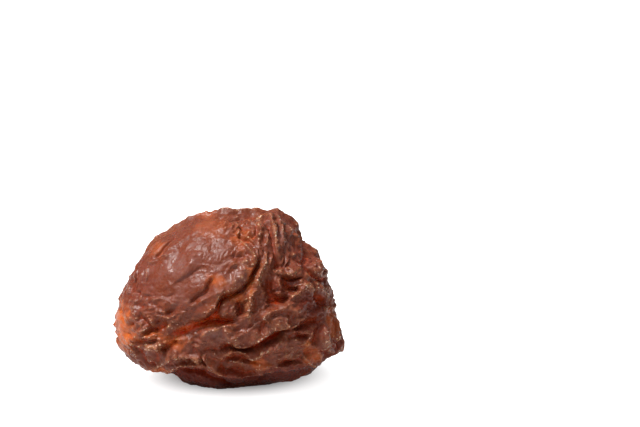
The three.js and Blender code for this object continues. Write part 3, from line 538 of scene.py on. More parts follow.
# The wrinkles that are too fine for the solid.
FINE_FOLDS = (
    Fold("bulge by the right edge", 0.4, (0.42, 0.4), ((7.4, -1.7), (7.7, -2.8), (7.5, -4.0))),
    Fold("left of the bulge", -0.5, (0.2, 0.25), ((7.3, -1.2), (6.9, -2.1), (6.7, -2.8), (6.8, -3.7))),
    Fold("beside the edge flake", -0.5, (0.16, 0.2), ((7.7, -0.8), (7.9, -1.6), (8.1, -2.4), (8.2, -3.0))),
    Fold("small ridge in the pocket", 0.25, (0.16, 0.16), (
        (5.4, -2.6), (6.0, -2.5), (6.4, -2.0), (6.6, -1.6))),
    Fold("lower right plate", 0.3, (0.3, 0.16), (
        (5.9, -4.0), (6.2, -4.8), (6.7, -5.2), (7.3, -5.1)), lean=0.1),
    Fold("right of the plate", -0.4, (0.16, 0.2), ((7.2, -3.9), (7.3, -4.5), (7.0, -4.8))),
    Fold("crumb", 0.2, (0.16, 0.16), ((5.9, -2.9), (6.1, -3.3), (6.2, -3.6))),
    Fold("skirt hem", 0.3, (0.22, 0.12), (
        (-6.2, -5.6), (-5.1, -5.8), (-4.3, -5.5), (-3.7, -5.1), (-2.8, -5.0), (-1.8, -5.0), (-1.4, -5.3),
        (-0.9, -5.6), (-0.1, -5.8), (0.9, -5.8), (1.8, -5.8), (2.9, -5.6), (3.5, -5.5),
        (4.1, -5.2)), lean=0.22),
    Fold("tongue hollow", -0.3, (0.5, 0.22), ((0.4, 3.0), (1.0, 3.3), (1.4, 3.5), (1.8, 3.7))),
    Fold("tongue edge", 0.18, (0.18, 0.3), ((0.1, 2.7), (0.7, 2.8), (1.2, 3.0), (1.7, 3.3))),
    Fold("dome fall", -0.2, (0.7, 0.5), ((-3.9, 4.3), (-3.8, 3.6), (-4.0, 2.9), (-4.6, 2.2))),
    Fold("dome ridge", 0.22, (0.5, 0.5), ((-2.3, 4.0), (-2.6, 3.1), (-3.2, 2.2), (-4.0, 1.4))),
    Fold("dome pit", -0.12, (0.25, 0.25), ((-3.6, 4.4), (-3.2, 4.5), (-2.7, 4.8))),
    Fold("dome hem", -0.16, (0.16, 0.5), ((-4.2, 1.2), (-3.6, 1.4), (-3.0, 1.8), (-2.1, 2.4), (-1.3, 2.6))),
    Fold("rim line one", -0.22, (0.12, 0.16), ((-5.6, 4.6), (-5.3, 4.9), (-4.9, 5.3), (-4.4, 5.5))),
    Fold("rim line two", -0.24, (0.12, 0.18), (
        (-5.9, 3.0), (-5.4, 3.4), (-4.9, 3.9), (-4.5, 4.2), (-4.1, 4.7), (-3.8, 5.2))),
    Fold("rim line three", 0.2, (0.14, 0.14), (
        (-6.3, 2.8), (-5.8, 2.9), (-5.3, 3.2), (-4.9, 3.5), (-4.5, 3.1))),
    Fold("rim line four", -0.2, (0.12, 0.14), ((-6.9, 2.1), (-7.0, 1.4), (-7.3, 0.9), (-7.5, 0.3))),
    Fold("rim line five", 0.2, (0.12, 0.14), ((-7.1, 2.5), (-7.2, 1.7), (-7.2, 1.1))),
    Fold("rim line six", -0.16, (0.1, 0.12), ((-6.4, 2.4), (-6.4, 1.7), (-6.5, 1.2))),
    Fold("rim line seven", 0.14, (0.12, 0.12), ((-6.3, 2.6), (-6.2, 2.0), (-6.3, 1.3))),
    Fold("rim line eight", 0.16, (0.12, 0.12), ((-6.6, 3.5), (-6.9, 3.0), (-7.3, 2.5))),
    Fold("rim line nine", -0.14, (0.1, 0.14), ((-7.8, 1.7), (-8.0, 1.1), (-8.2, 0.6))),
    Fold("crown line one", -0.25, (0.16, 0.2), ((-0.2, 5.4), (0.5, 6.0), (1.3, 5.9), (1.8, 5.0))),
    Fold("crown line two", 0.25, (0.18, 0.18), ((0.2, 5.0), (0.7, 5.5), (1.3, 5.3), (1.6, 4.7))),
    Fold("crown line three", -0.22, (0.16, 0.16), ((2.0, 6.2), (2.2, 5.5), (2.1, 4.9), (1.6, 4.6))),
    Fold("crown line four", 0.25, (0.14, 0.16), ((2.3, 6.0), (2.5, 5.5), (2.3, 5.3))),
    Fold("band line one", -0.14, (0.14, 0.2), ((-7.4, 0.7), (-6.2, 0.4), (-4.6, 0.2), (-3.6, 0.7))),
    Fold("band line two", 0.12, (0.14, 0.2), ((-7.1, -0.0), (-5.8, 0.2), (-4.6, -0.0), (-3.8, -0.5))),
    Fold("band line three", -0.14, (0.14, 0.16), ((-6.2, -1.1), (-5.1, -0.5), (-4.3, -0.9), (-3.6, -0.7))),
    Fold("band line four", 0.14, (0.14, 0.16), ((-5.8, 0.7), (-5.6, 0.1), (-4.9, -0.5), (-4.5, -1.1))),
    Fold("left fan one", 0.16, (0.14, 0.14), ((-6.2, -1.1), (-5.9, -1.5), (-5.5, -2.0))),
    Fold("left fan two", -0.16, (0.14, 0.14), ((-5.8, -0.9), (-5.4, -1.4), (-5.4, -1.9))),
    Fold("left fan three", 0.14, (0.14, 0.14), ((-5.3, -0.7), (-4.9, -0.9), (-4.4, -0.9))),
    Fold("skirt bead one", 0.25, (0.18, 0.18), ((-4.1, -4.3), (-3.7, -4.3))),
    Fold("skirt fold one", -0.22, (0.16, 0.16), ((-7.6, -3.8), (-7.4, -4.3), (-7.0, -4.8))),
    Fold("skirt fold two", 0.2, (0.16, 0.16), ((-7.2, -4.0), (-7.1, -4.4), (-6.9, -4.9), (-6.4, -5.3))),
    Fold("skirt fold three", -0.2, (0.16, 0.16), ((-5.3, -5.0), (-5.2, -5.3), (-5.0, -5.7))),
    Fold("skirt fold four", 0.2, (0.16, 0.16), ((-4.0, -4.9), (-3.8, -5.2), (-3.9, -5.5))),
    Fold("skirt fold five", -0.16, (0.14, 0.14), ((-3.5, -4.5), (-3.2, -4.7), (-2.9, -4.9))),
    Fold("skirt fold six", 0.16, (0.14, 0.14), ((-2.6, -4.2), (-2.5, -4.6), (-2.1, -5.0))),
    Fold("plateau line", -0.22, (0.14, 0.14), ((-1.3, -3.1), (-0.9, -2.7), (-0.5, -2.6), (0.0, -2.4))),
    Fold("plateau crest", 0.2, (0.16, 0.16), ((-0.7, -3.0), (-0.3, -2.7), (0.1, -2.3), (0.6, -2.5))),
    Fold("hump line one", -0.14, (0.1, 0.1), ((3.9, 5.4), (4.0, 4.9), (3.9, 4.4))),
    Fold("hump line two", 0.16, (0.14, 0.14), ((3.8, 2.7), (4.1, 2.9), (4.4, 3.1))),
    Fold("hump line three", 0.18, (0.14, 0.14), ((4.5, 2.3), (4.8, 2.7), (5.0, 3.0))),
    Fold("hump line four", -0.2, (0.14, 0.14), ((4.1, 2.4), (4.4, 2.6), (4.6, 3.0))),
    Fold("lobe edge", 0.16, (0.14, 0.14), ((6.3, 3.1), (6.9, 3.0), (7.3, 2.9), (7.7, 2.5))),
    Fold("grey lump", 0.25, (0.25, 0.25), ((5.0, 1.7), (5.5, 1.6), (5.8, 1.4))),
    Fold("face line one", 0.2, (0.14, 0.16), ((2.6, -1.3), (3.0, -1.5), (3.3, -1.9))),
    Fold("face line two", 0.22, (0.14, 0.16), ((3.8, -1.2), (3.9, -1.7), (3.8, -2.0))),
    Fold("face line three", -0.2, (0.14, 0.16), ((4.7, -0.9), (4.8, -1.5), (4.7, -1.9))),
    Fold("face line four", 0.2, (0.14, 0.16), ((5.1, -1.2), (5.4, -1.3), (5.1, -1.7))),
    Fold("corner line one", -0.2, (0.14, 0.16), ((5.7, -3.9), (6.1, -4.1), (6.0, -4.4))),
    Fold("corner line two", 0.2, (0.14, 0.2), ((6.5, -3.9), (7.1, -4.4), (7.3, -5.0), (7.0, -5.2))),
    Fold("corner line three", 0.18, (0.3, 0.3), ((6.8, -2.1), (7.3, -2.0), (7.7, -2.6), (7.6, -3.3))),
    Fold("fourth face line", -0.2, (0.14, 0.14), ((2.8, -3.6), (3.3, -3.2), (3.9, -2.9))),
)


@dataclass(frozen=True)
class LongFolds:
    """The rule for the folds over the top, back and underside, one line of them after another."""

    seed: int = 2024
    around: Point2 = (94, 264)
    spacing: Point2 = (8.5, 12)
    reach: float = 0.8
    height: Point2 = (0.3, 0.5)
    width: Point2 = (0.32, 0.52)
    lean: float = 0.25

    def draws(self) -> Iterator[float]:
        """Yield the seeded draws, each 0 to 1."""
        s = self.seed
        while True:
            s = (s * 1664525 + 1013904223) & Grain.MASK
            yield s / 2 ** 32

    def folds(self) -> list[Fold]:
        """Return the folds, in the order in which they are drawn."""
        source = self.draws()

        def draw(span: Point2) -> float:
            """Return the next draw, within span."""
            return span[0] + (span[1] - span[0]) * next(source)

        made = []
        number = 0
        around = self.around[0]
        while around < self.around[1]:
            start = -self.reach + draw((0, 0.25))
            while start < 0.6:
                end = min(self.reach, start + draw((0.5, 1.15)))
                phase, swing, waves = draw((0, 6.28)), draw((5, 13)), draw((3, 5.5))
                drift = draw((-5, 5))
                shares = [start + (end - start) * i / 5 for i in range(6)]
                route = tuple(
                    (share, around + swing * math.sin(waves * share + phase) + drift * (share - start))
                    for share in shares
                )
                is_crease = number % 3 == 2
                height = draw(self.height) * (-1 if is_crease else 1)
                widths = (draw(self.width), draw(self.width))
                lean = 0.0 if is_crease else draw((-self.lean, self.lean))
                made.append(Fold(f"long fold {len(made) + 1}", height, widths, route, lean, Place.BELT))
                start = end + draw((-0.25, 0.1))
            number += 1
            around += draw(self.spacing)
        return made


class Tone(Enum):
    """What sets a spot of the skin apart: a painted glow, the skin's waxy bloom, sugary grains with painted glints,
    or painted shade.
    """

    THIN = "painted_glow"
    BLOOM = "bloom"
    SUGAR_AND_GLINT = "sugar_and_glint"
    PAINTED_SHADE = "deep"


@dataclass(frozen=True)
class Spot:
    """A spot of the front that differs from the skin round it, with its middle and reach in millimetres."""

    name: str
    tone: Tone
    middle: Point2
    reach: Point2
    strength: float = 1.0

    def share(self, x: Array, up: Array, ragged: Array) -> Array:
        """Return how strongly the spot shows at each point, with its edge made ragged."""
        away = np.hypot((x - self.middle[0]) / self.reach[0], (up - self.middle[1]) / self.reach[1])
        return self.strength * smoothstep(1.25, 0.55, away + 0.45 * ragged)


# Spots of the front. The glow spots paint light shining through the skin. The shade spots paint shade in hollows,
# under the skirt and on the right and lower body. The sugary spots add sugary grains with painted glints. The bloom
# spots are the skin's own waxy bloom.
SPOTS = (
    Spot("left rim", Tone.THIN, (-8.6, -2.4), (1.3, 2.0)),
    Spot("behind the left rim", Tone.THIN, (-7.1, -2.8), (0.6, 0.6), 0.6),
    Spot("left orange fold", Tone.THIN, (-5.9, -2.7), (0.9, 0.3), 0.5),
    Spot("left end of the skirt", Tone.THIN, (-5.6, -5.6), (0.9, 0.4), 0.8),
    Spot("swelling on the dome", Tone.THIN, (-0.9, 1.5), (0.8, 0.55), 0.6),
    Spot("top of the dome", Tone.THIN, (-1.2, 5.7), (1.5, 0.9), 0.25),
    Spot("neck", Tone.THIN, (1.0, 5.0), (0.9, 1.0), 0.35),
    Spot("upper left of the dome", Tone.THIN, (-6.0, 4.3), (1.0, 0.8), 0.35),
    Spot("under the dome lip", Tone.THIN, (0.6, 0.3), (1.0, 0.5), 0.7),
    Spot("long valley", Tone.THIN, (-1.6, -1.9), (1.6, 0.35), 0.4),
    Spot("left end of the valley", Tone.THIN, (-4.1, -3.2), (1.1, 0.5), 0.6),
    Spot("right edge", Tone.THIN, (8.3, -1.7), (0.5, 1.3), 0.6),
    Spot("lower right", Tone.THIN, (6.5, -4.4), (0.8, 0.7), 0.55),
    Spot("crumb glow", Tone.THIN, (6.1, -3.3), (0.25, 0.3)),
    Spot("beside the dome lip", Tone.THIN, (1.7, 1.6), (0.4, 1.4), 0.6),
    Spot("bottom right lip", Tone.THIN, (2.5, -5.0), (0.8, 0.35), 0.7),
    Spot("dome front", Tone.BLOOM, (-3.4, 2.6), (2.0, 1.5), 0.8),
    Spot("dome left", Tone.BLOOM, (-6.0, 1.6), (1.4, 1.6), 0.6),
    Spot("dome low", Tone.BLOOM, (-3.2, 0.3), (1.6, 0.8), 0.7),
    Spot("dome lip", Tone.BLOOM, (0.6, 2.4), (1.4, 1.2), 0.8),
    Spot("tongue", Tone.BLOOM, (-1.0, -2.5), (1.2, 0.5)),
    Spot("hump", Tone.BLOOM, (4.3, 5.2), (1.1, 1.6), 0.7),
    Spot("middle hollow", Tone.BLOOM, (3.8, -1.7), (1.1, 0.8), 0.8),
    Spot("right lobe", Tone.BLOOM, (6.8, 2.4), (0.9, 0.9), 0.4),
    Spot("bulge by the right edge", Tone.BLOOM, (7.4, -2.9), (0.7, 1.3), 0.9),
    Spot("second crest", Tone.SUGAR_AND_GLINT, (2.3, 1.6), (0.5, 0.5)),
    Spot("second crest low", Tone.SUGAR_AND_GLINT, (1.7, -0.2), (0.4, 1.2), 0.8),
    Spot("neck crest", Tone.SUGAR_AND_GLINT, (2.9, 2.6), (0.5, 0.9), 0.5),
    Spot("left lump", Tone.SUGAR_AND_GLINT, (-5.5, -3.6), (0.9, 0.5), 0.9),
    Spot("skirt crest", Tone.SUGAR_AND_GLINT, (-3.0, -4.3), (1.5, 0.3), 0.8),
    Spot("under the dome", Tone.SUGAR_AND_GLINT, (-4.0, -2.0), (1.2, 0.5), 0.6),
    Spot("right crest", Tone.SUGAR_AND_GLINT, (5.6, 0.8), (1.3, 0.6)),
    Spot("right of the crest", Tone.SUGAR_AND_GLINT, (7.6, 0.6), (0.8, 0.4), 0.8),
    Spot("bottom lip", Tone.SUGAR_AND_GLINT, (2.6, -5.3), (0.6, 0.3), 0.9),
    Spot("hooked line on the neck", Tone.SUGAR_AND_GLINT, (2.3, 6.2), (0.35, 0.6), 0.8),
    Spot("crumb", Tone.SUGAR_AND_GLINT, (6.1, -3.3), (0.25, 0.35)),
    Spot("low right crest", Tone.SUGAR_AND_GLINT, (4.6, -4.0), (1.5, 0.5), 0.4),
    Spot("left of the dome", Tone.PAINTED_SHADE, (-6.8, 1.0), (1.3, 2.2), 0.35),
    Spot("right hollow", Tone.PAINTED_SHADE, (6.8, -0.3), (1.3, 1.3), 0.8),
    Spot("hole under the hump", Tone.PAINTED_SHADE, (4.8, 1.1), (1.2, 0.9), 0.7),
    Spot("hollow by the right fall", Tone.PAINTED_SHADE, (3.4, 0.8), (0.7, 1.0), 0.6),
    Spot("low right pocket", Tone.PAINTED_SHADE, (6.3, -2.2), (1.4, 0.8), 0.6),
    Spot("right lobe foot", Tone.PAINTED_SHADE, (6.0, 3.4), (1.1, 1.2), 0.5),
    Spot("under the skirt", Tone.PAINTED_SHADE, (0.4, -5.5), (1.6, 0.5), 0.8),
    Spot("fourth crease", Tone.PAINTED_SHADE, (2.6, -3.3), (1.7, 0.4), 0.6),
    Spot("lower body", Tone.PAINTED_SHADE, (-2.2, -6.3), (2.2, 0.9)),
    Spot("lower right body", Tone.PAINTED_SHADE, (5.2, -5.9), (3.2, 0.9), 0.9),
    Spot("tip", Tone.PAINTED_SHADE, (8.5, -3.7), (0.6, 0.8), 0.7),
)


@dataclass
class Zones:
    """What the finish reads at each point of the skin, each 0 to 1: the crests, a painted glow in the creases and
    where the skin is thinner, waxy bloom, sugary grains with painted glints, and painted shade.
    """

    crest: Array
    crease_glow: Array
    painted_glow: Array
    bloom: Array
    sugar_and_glint: Array
    deep: Array


@dataclass(frozen=True)
class Cage:
    """A ball of even four-sided faces, drawn closer together towards the front."""

    steps: int = 128
    pull: float = 0.25

    def build(self) -> tuple[Array, Array]:
        """Return the ball's directions, and its faces as rows of four vertex numbers."""
        t = np.tan((np.arange(self.steps + 1) / self.steps * 2 - 1) * math.pi / 4)
        a, b = np.meshgrid(t, t, indexing="ij")
        one = np.ones_like(a)
        sides = [(one, a, b), (-one, b, a), (b, one, a), (a, -one, b), (a, b, one), (b, a, -one)]
        points = unit(np.concatenate([np.stack(side, -1).reshape(-1, 3) for side in sides]))
        _, first, index = np.unique(np.round(points, 7), axis=0, return_index=True, return_inverse=True)
        index = index.reshape(-1)
        row = self.steps + 1
        i, j = (g.ravel() for g in np.meshgrid(np.arange(self.steps), np.arange(self.steps), indexing="ij"))
        corner = i * row + j
        face = np.stack([corner, corner + row, corner + row + 1, corner + 1], 1)
        faces = index[np.concatenate([face + side * row * row for side in range(6)])]
        directions = points[first]
        p, q, r = (directions[faces[:, k]] for k in range(3))
        inward = np.einsum("ij,ij->i", np.cross(q - p, r - p), p) < 0
        faces[inward] = faces[inward][:, ::-1]
        return unit(directions - [0, self.pull, 0]), faces


@dataclass
class Skin:
    """The raisin's folded skin."""

    berry: Berry = field(default_factory=Berry)
    long_folds: LongFolds = field(default_factory=LongFolds)
    cage: Cage = field(default_factory=Cage)
    hem: Hem = field(default_factory=Hem)
    tilt: float = math.radians(12)
    rest_drop: float = 6.75

    FORWARD = 0.9
    SETTLE_TURNS = 3
    SETTLE_REACH = 0.8

    def lines(self) -> list[tuple[Fold, Array]]:
        """Lay every fold's line on the body.

        Returns:
            Each fold with its line. A fold of the front is moved until its own top or floor, and not its foot,
            is seen along its route.
        """
        folds = (*FRONT_FOLDS, *FINE_FOLDS, *self.long_folds.folds())
        routes = [fold.smooth_route() for fold in folds]
        aims = [route.copy() for route in routes]
        for turn in range(self.SETTLE_TURNS + 1):
            lines = [
                self.berry.belt(route) if fold.place is Place.BELT else self.berry.front(route)
                for fold, route in zip(folds, routes)
            ]
            if turn == self.SETTLE_TURNS:
                break
            seen = self.points(np.vstack(lines), list(zip(folds, lines)))[0]
            ends = np.cumsum([len(line) for line in lines])
            for fold, route, aim, now in zip(folds, routes, aims, np.split(seen, ends[:-1])):
                if fold.place is Place.FRONT:
                    miss = aim - now[:, [0, 2]]
                    for _ in range(12):
                        miss[1:-1] = (miss[:-2] + 2 * miss[1:-1] + miss[2:]) / 4
                        miss[0], miss[-1] = miss[1], miss[-2]
                    route += 0.7 * miss
                    far = np.maximum(lengths(route - aim) / self.SETTLE_REACH, 1)
                    route[:] = aim + (route - aim) / far[:, None]
        return list(zip(folds, lines))

    def fold(self, p: Array, lines: list[tuple[Fold, Array]]) -> tuple[Array, Array, Array]:
        """Lay all the folds on the body.

        Args:
            p: Points of the body, one to a row.
            lines: Each fold with its line.

        Returns:
            How far the folds lift the skin at each, how far they push it sideways, and the angle that the folds
            near it run at.
        """
        at = Grain.wander(Grain.wander(p, 2.6, 0.14, 11), 0.9, 0.09, 17)
        lift = np.zeros(len(p))
        push = np.zeros((len(p), 3))
        flow = np.zeros((len(p), 2))
        for one, line in lines:
            one.lay(self.berry, line, at, lift, push, flow)
        lift = np.where(lift > 0, 0.85 * np.tanh(lift / 0.85), 1.15 * np.tanh(lift / 1.15))
        return lift, push, np.arctan2(flow[:, 1], flow[:, 0] + 0.02) / 2

    def points(self, p: Array, lines: list[tuple[Fold, Array]]) -> tuple[Array, dict[str, Array]]:
        """Draw the skin.

        Args:
            p: Points of the body, one to a row.
            lines: Each fold with its line.

        Returns:
            The skin's points in the frame of the front view, and the fields that they were drawn by.
        """
        normals = self.berry.normals(p)
        lift, push, run = self.fold(p, lines)
        x, y, up = p.T
        front = smoothstep(1, -2.5, y)
        dome = smoothstep(4, 0, y) * smoothstep(4.7, 2.5, np.hypot((x + 3.6) / 1.2, up - 3.2))
        under = smoothstep(-4.9, -6, up)
        calm = 1 - 0.75 * front * smoothstep(-7.4, -8.4, x)
        loose = (1 - 0.88 * dome) * (1 - 0.7 * under) * calm
        rim = np.hypot(x, up) / self.berry.outline_radius(x, up)
        turn = np.arctan2(up, x)

        rough = Grain.noise(Grain.wander(p, 0.8, 0.3, 91) / 0.55, 23)
        raised = lift * (1 + 0.72 * np.clip(lift, 0, 1) * rough)
        toward = unit(normals - self.FORWARD * front[:, None] * [0, 1, 0])
        height = (1 - 0.85 * front) * 0.35 * (
            Grain.crests(Grain.wander(p, 3.5, 1.5, 31), 6, 2.7, run, 5) - 0.5)
        height += loose * 0.3 * (Grain.crests(Grain.wander(p, 2, 0.6, 51), 3.2, 0.95, run, 8) - 0.5)
        height += 0.16 * Grain.noise(Grain.wander(p, 2, 0.5, 131) / 2.3, 77)

        small = Grain.crests(Grain.wander(p, 1, 0.3, 61), 2.0, 0.5, run, 28)
        height += (1 - 0.85 * dome) * (1 - 0.7 * under) * calm * 0.2 * (small - 0.5)
        cells = Grain.pebbles(Grain.wander(p, 1.4, 0.7, 71) / [1.7, 1.4, 1.1], 3)
        height += loose * 0.04 * (0.65 - cells)
        edge = front * smoothstep(0.72, 0.86, rim) * smoothstep(0.2, 1.2, turn) + smoothstep(-5, -7.2, x)
        across = (rim + 0.04 * Grain.noise(p / 1.2, 55)) * 15
        hairlines = Grain.ridge(np.stack([turn * 2.2, y * 0.25, across], 1), 19, 0.1)
        height += 0.1 * np.clip(edge, 0, 1) * front * (hairlines - 0.5)
        fine = Grain.crests(Grain.wander(p, 0.5, 0.25, 81), 0.75, 0.34, run, 12)
        height += (1 - 0.8 * dome) * calm * 0.12 * (fine - 0.4)
        height += 0.008 * Grain.noise(p / 0.16, 99)
        push[:, 1] += front * self.hem.push(x, up)
        out = p + normals * (height - self.berry.inset)[:, None] + toward * raised[:, None] + push
        return out, {"dome": dome, "front": front, "lift": lift, "x": x, "y": y, "up": up, "rim": rim}

    def stand(self, p: Array, box: tuple[Sequence[float], Sequence[float]]) -> Array:
        """Turn the skin to lie as the part does, and fit it to the part's own box.

        Args:
            p: The skin's points in the frame of the front view.
            box: The solid's lowest and highest corner in metres.

        Returns:
            The skin's points in metres, in the part's frame.
        """
        c, s = math.cos(self.tilt), math.sin(self.tilt)
        turned = np.stack([p[:, 0], p[:, 1] * c + p[:, 2] * s, p[:, 2] * c - p[:, 1] * s], 1)
        sunk = turned[:, 2] < -self.rest_drop
        turned[sunk] *= (-self.rest_drop / turned[sunk, 2])[:, None]
        turned[:, 2] += self.rest_drop
        low, high = np.array(box[0]), np.array(box[1])
        turned *= (high[0] - low[0]) / np.ptp(turned[:, 0])
        middle = (turned.min(0) + turned.max(0)) / 2
        turned[:, :2] += ((low + high) / 2 - middle)[:2]
        turned[:, 2] += low[2] - turned[:, 2].min()
        return turned

    def zones(self, p: Array, faces: Array, fields: dict[str, Array]) -> Zones:
        """Find what the finish reads at each point.

        Args:
            p: The skin's points in metres, in the part's frame.
            faces: Its faces, as rows of four vertex numbers.
            fields: What the skin was drawn by.

        Returns:
            The zones.
        """
        starts = faces.ravel()
        ends = np.roll(faces, -1, axis=1).ravel()
        count = np.bincount(starts, minlength=len(p))[:, None]

        def spread(values: Array, times: int) -> Array:
            """Return values, averaged over each point's neighbours so many times."""
            for _ in range(times):
                total = np.stack([np.bincount(starts, values[ends, k], len(p)) for k in range(values.shape[1])], 1)
                values = 0.5 * values + 0.5 * total / count
            return values

        corners = p[faces]
        face_normals = np.cross(corners[:, 2] - corners[:, 0], corners[:, 3] - corners[:, 1])
        normals = np.zeros_like(p)
        for k in range(4):
            np.add.at(normals, faces[:, k], face_normals)
        normals = unit(normals)
        near = np.einsum("ij,ij->i", p - spread(p, 14), normals) / MM
        broad = np.einsum("ij,ij->i", p - spread(p, 90), normals) / MM
        relief = 0.5 * near / 0.05 + 0.5 * broad / 0.16
        x, up, front = fields["x"], fields["up"], fields["front"]
        rounded = np.stack([x, fields["y"], up], 1)
        ragged = Grain.noise(rounded / 0.8, 141) + 0.6 * Grain.noise(rounded / 0.3, 142)
        tones = {tone: np.zeros(len(p)) for tone in Tone}
        for spot in SPOTS:
            tones[spot.tone] = np.maximum(tones[spot.tone], spot.share(x, up, ragged))
        # Off the front, each tone falls in random patches, the painted glow and painted shade among them.
        elsewhere = {
            tone: 0.6 * smoothstep(0.1, 0.6, Grain.noise(rounded / 3, 151 + k)) for k, tone in enumerate(Tone)
        }
        shares = {tone.value: front * tones[tone] + (1 - front) * elsewhere[tone] for tone in Tone}
        under = smoothstep(0.05, 0.35, self.hem.below(x, up)) * self.hem.reach(x)
        # Painted shade: the skin under the skirt's hem is darkened where the skirt's shadow falls.
        shares["deep"] = np.maximum(shares["deep"], 0.9 * front * under)
        lift = fields["lift"]
        # The crests take the lighter tan in the finish. It is partly the sugary crust and partly a painted
        # highlight on the lit crests.
        crest = np.maximum(smoothstep(0.15, 1.5, relief), 0.7 * smoothstep(0.25, 0.6, lift))
        # Crease glow: a reddish glow painted into the folds, where light would shine through the folded skin. It
        # also raises the subsurface scattering there.
        crease_glow = np.maximum(0.5 * smoothstep(-0.4, -1.8, relief), smoothstep(-0.18, -0.75, lift))
        crease_glow *= (1 - 0.7 * shares["bloom"]) * (1 - 0.6 * shares["deep"])
        return Zones(crest=crest, crease_glow=crease_glow, **shares)


@dataclass(frozen=True)
class NodeBench:
    """A material's node tree, with short ways to add to it."""

    tree: bpy.types.NodeTree

    def add(self, kind: str, values: dict[str, object] | None = None, **settings: object) -> bpy.types.Node:
        """Add a node.

        Args:
            kind: The node's type, without its ShaderNode prefix.
            values: A number, a colour or another node's output for each input, by its name.
            settings: The node's own settings.

        Returns:
            The node.
        """
        node = self.tree.nodes.new("ShaderNode" + kind)
        for name, value in settings.items():
            setattr(node, name, value)
        for name, value in (values or {}).items():
            self.feed(node.inputs[name], value)
        return node

    def feed(self, socket: bpy.types.NodeSocket, value: object) -> None:
        """Link another node's output to a socket, or set its number or colour."""
        if isinstance(value, bpy.types.NodeSocket):
            self.tree.links.new(value, socket)
        else:
            socket.default_value = value

    def zone(self, name: str) -> bpy.types.NodeSocket:
        """Return one of the skin's zones."""
        return self.add("Attribute", attribute_name=name).outputs["Fac"]

    def noise(self, scale: float, detail: float = 3, rough: float = 0.55, warp: float = 0) -> bpy.types.NodeSocket:
        """Return noise on the skin.

        Args:
            scale: Cycles in a millimetre.
            detail: How many finer layers lie on it.
            rough: How strong they are.
            warp: How far it is bent by itself.

        Returns:
            The noise's output, 0 to 1.
        """
        place = self.add("TexCoord").outputs["Object"]
        values = {"Vector": place, "Scale": scale / MM, "Detail": detail, "Roughness": rough, "Distortion": warp}
        return self.add("TexNoise", values).outputs["Fac"]

    def remap(self, value: object, low: float, high: float, to: Point2 = (0, 1)) -> bpy.types.NodeSocket:
        """Ease a value from one span to another.

        Args:
            value: The output to ease.
            low: Where it starts.
            high: Where it ends.
            to: What it becomes there.

        Returns:
            The eased output.
        """
        values = {"Value": value, "From Min": low, "From Max": high, "To Min": to[0], "To Max": to[1]}
        return self.add("MapRange", values, interpolation_type="SMOOTHSTEP").outputs["Result"]

    def math(self, operation: str, a: object, b: object) -> bpy.types.NodeSocket:
        """Return the result of a sum on a and b."""
        node = self.add("Math", operation=operation)
        self.feed(node.inputs[0], a)
        self.feed(node.inputs[1], b)
        return node.outputs["Value"]

    def mix(self, share: object, a: object, b: object) -> bpy.types.NodeSocket:
        """Mix two colours.

        Args:
            share: How much of b there is.
            a: The first colour.
            b: The second.

        Returns:
            The mixed colour.
        """
        node = self.add("Mix", data_type="RGBA")
        self.feed(node.inputs["Factor"], share)
        self.feed(node.inputs["A"], a)
        self.feed(node.inputs["B"], b)
        return node.outputs["Result"]


Colour = tuple[float, float, float, float]


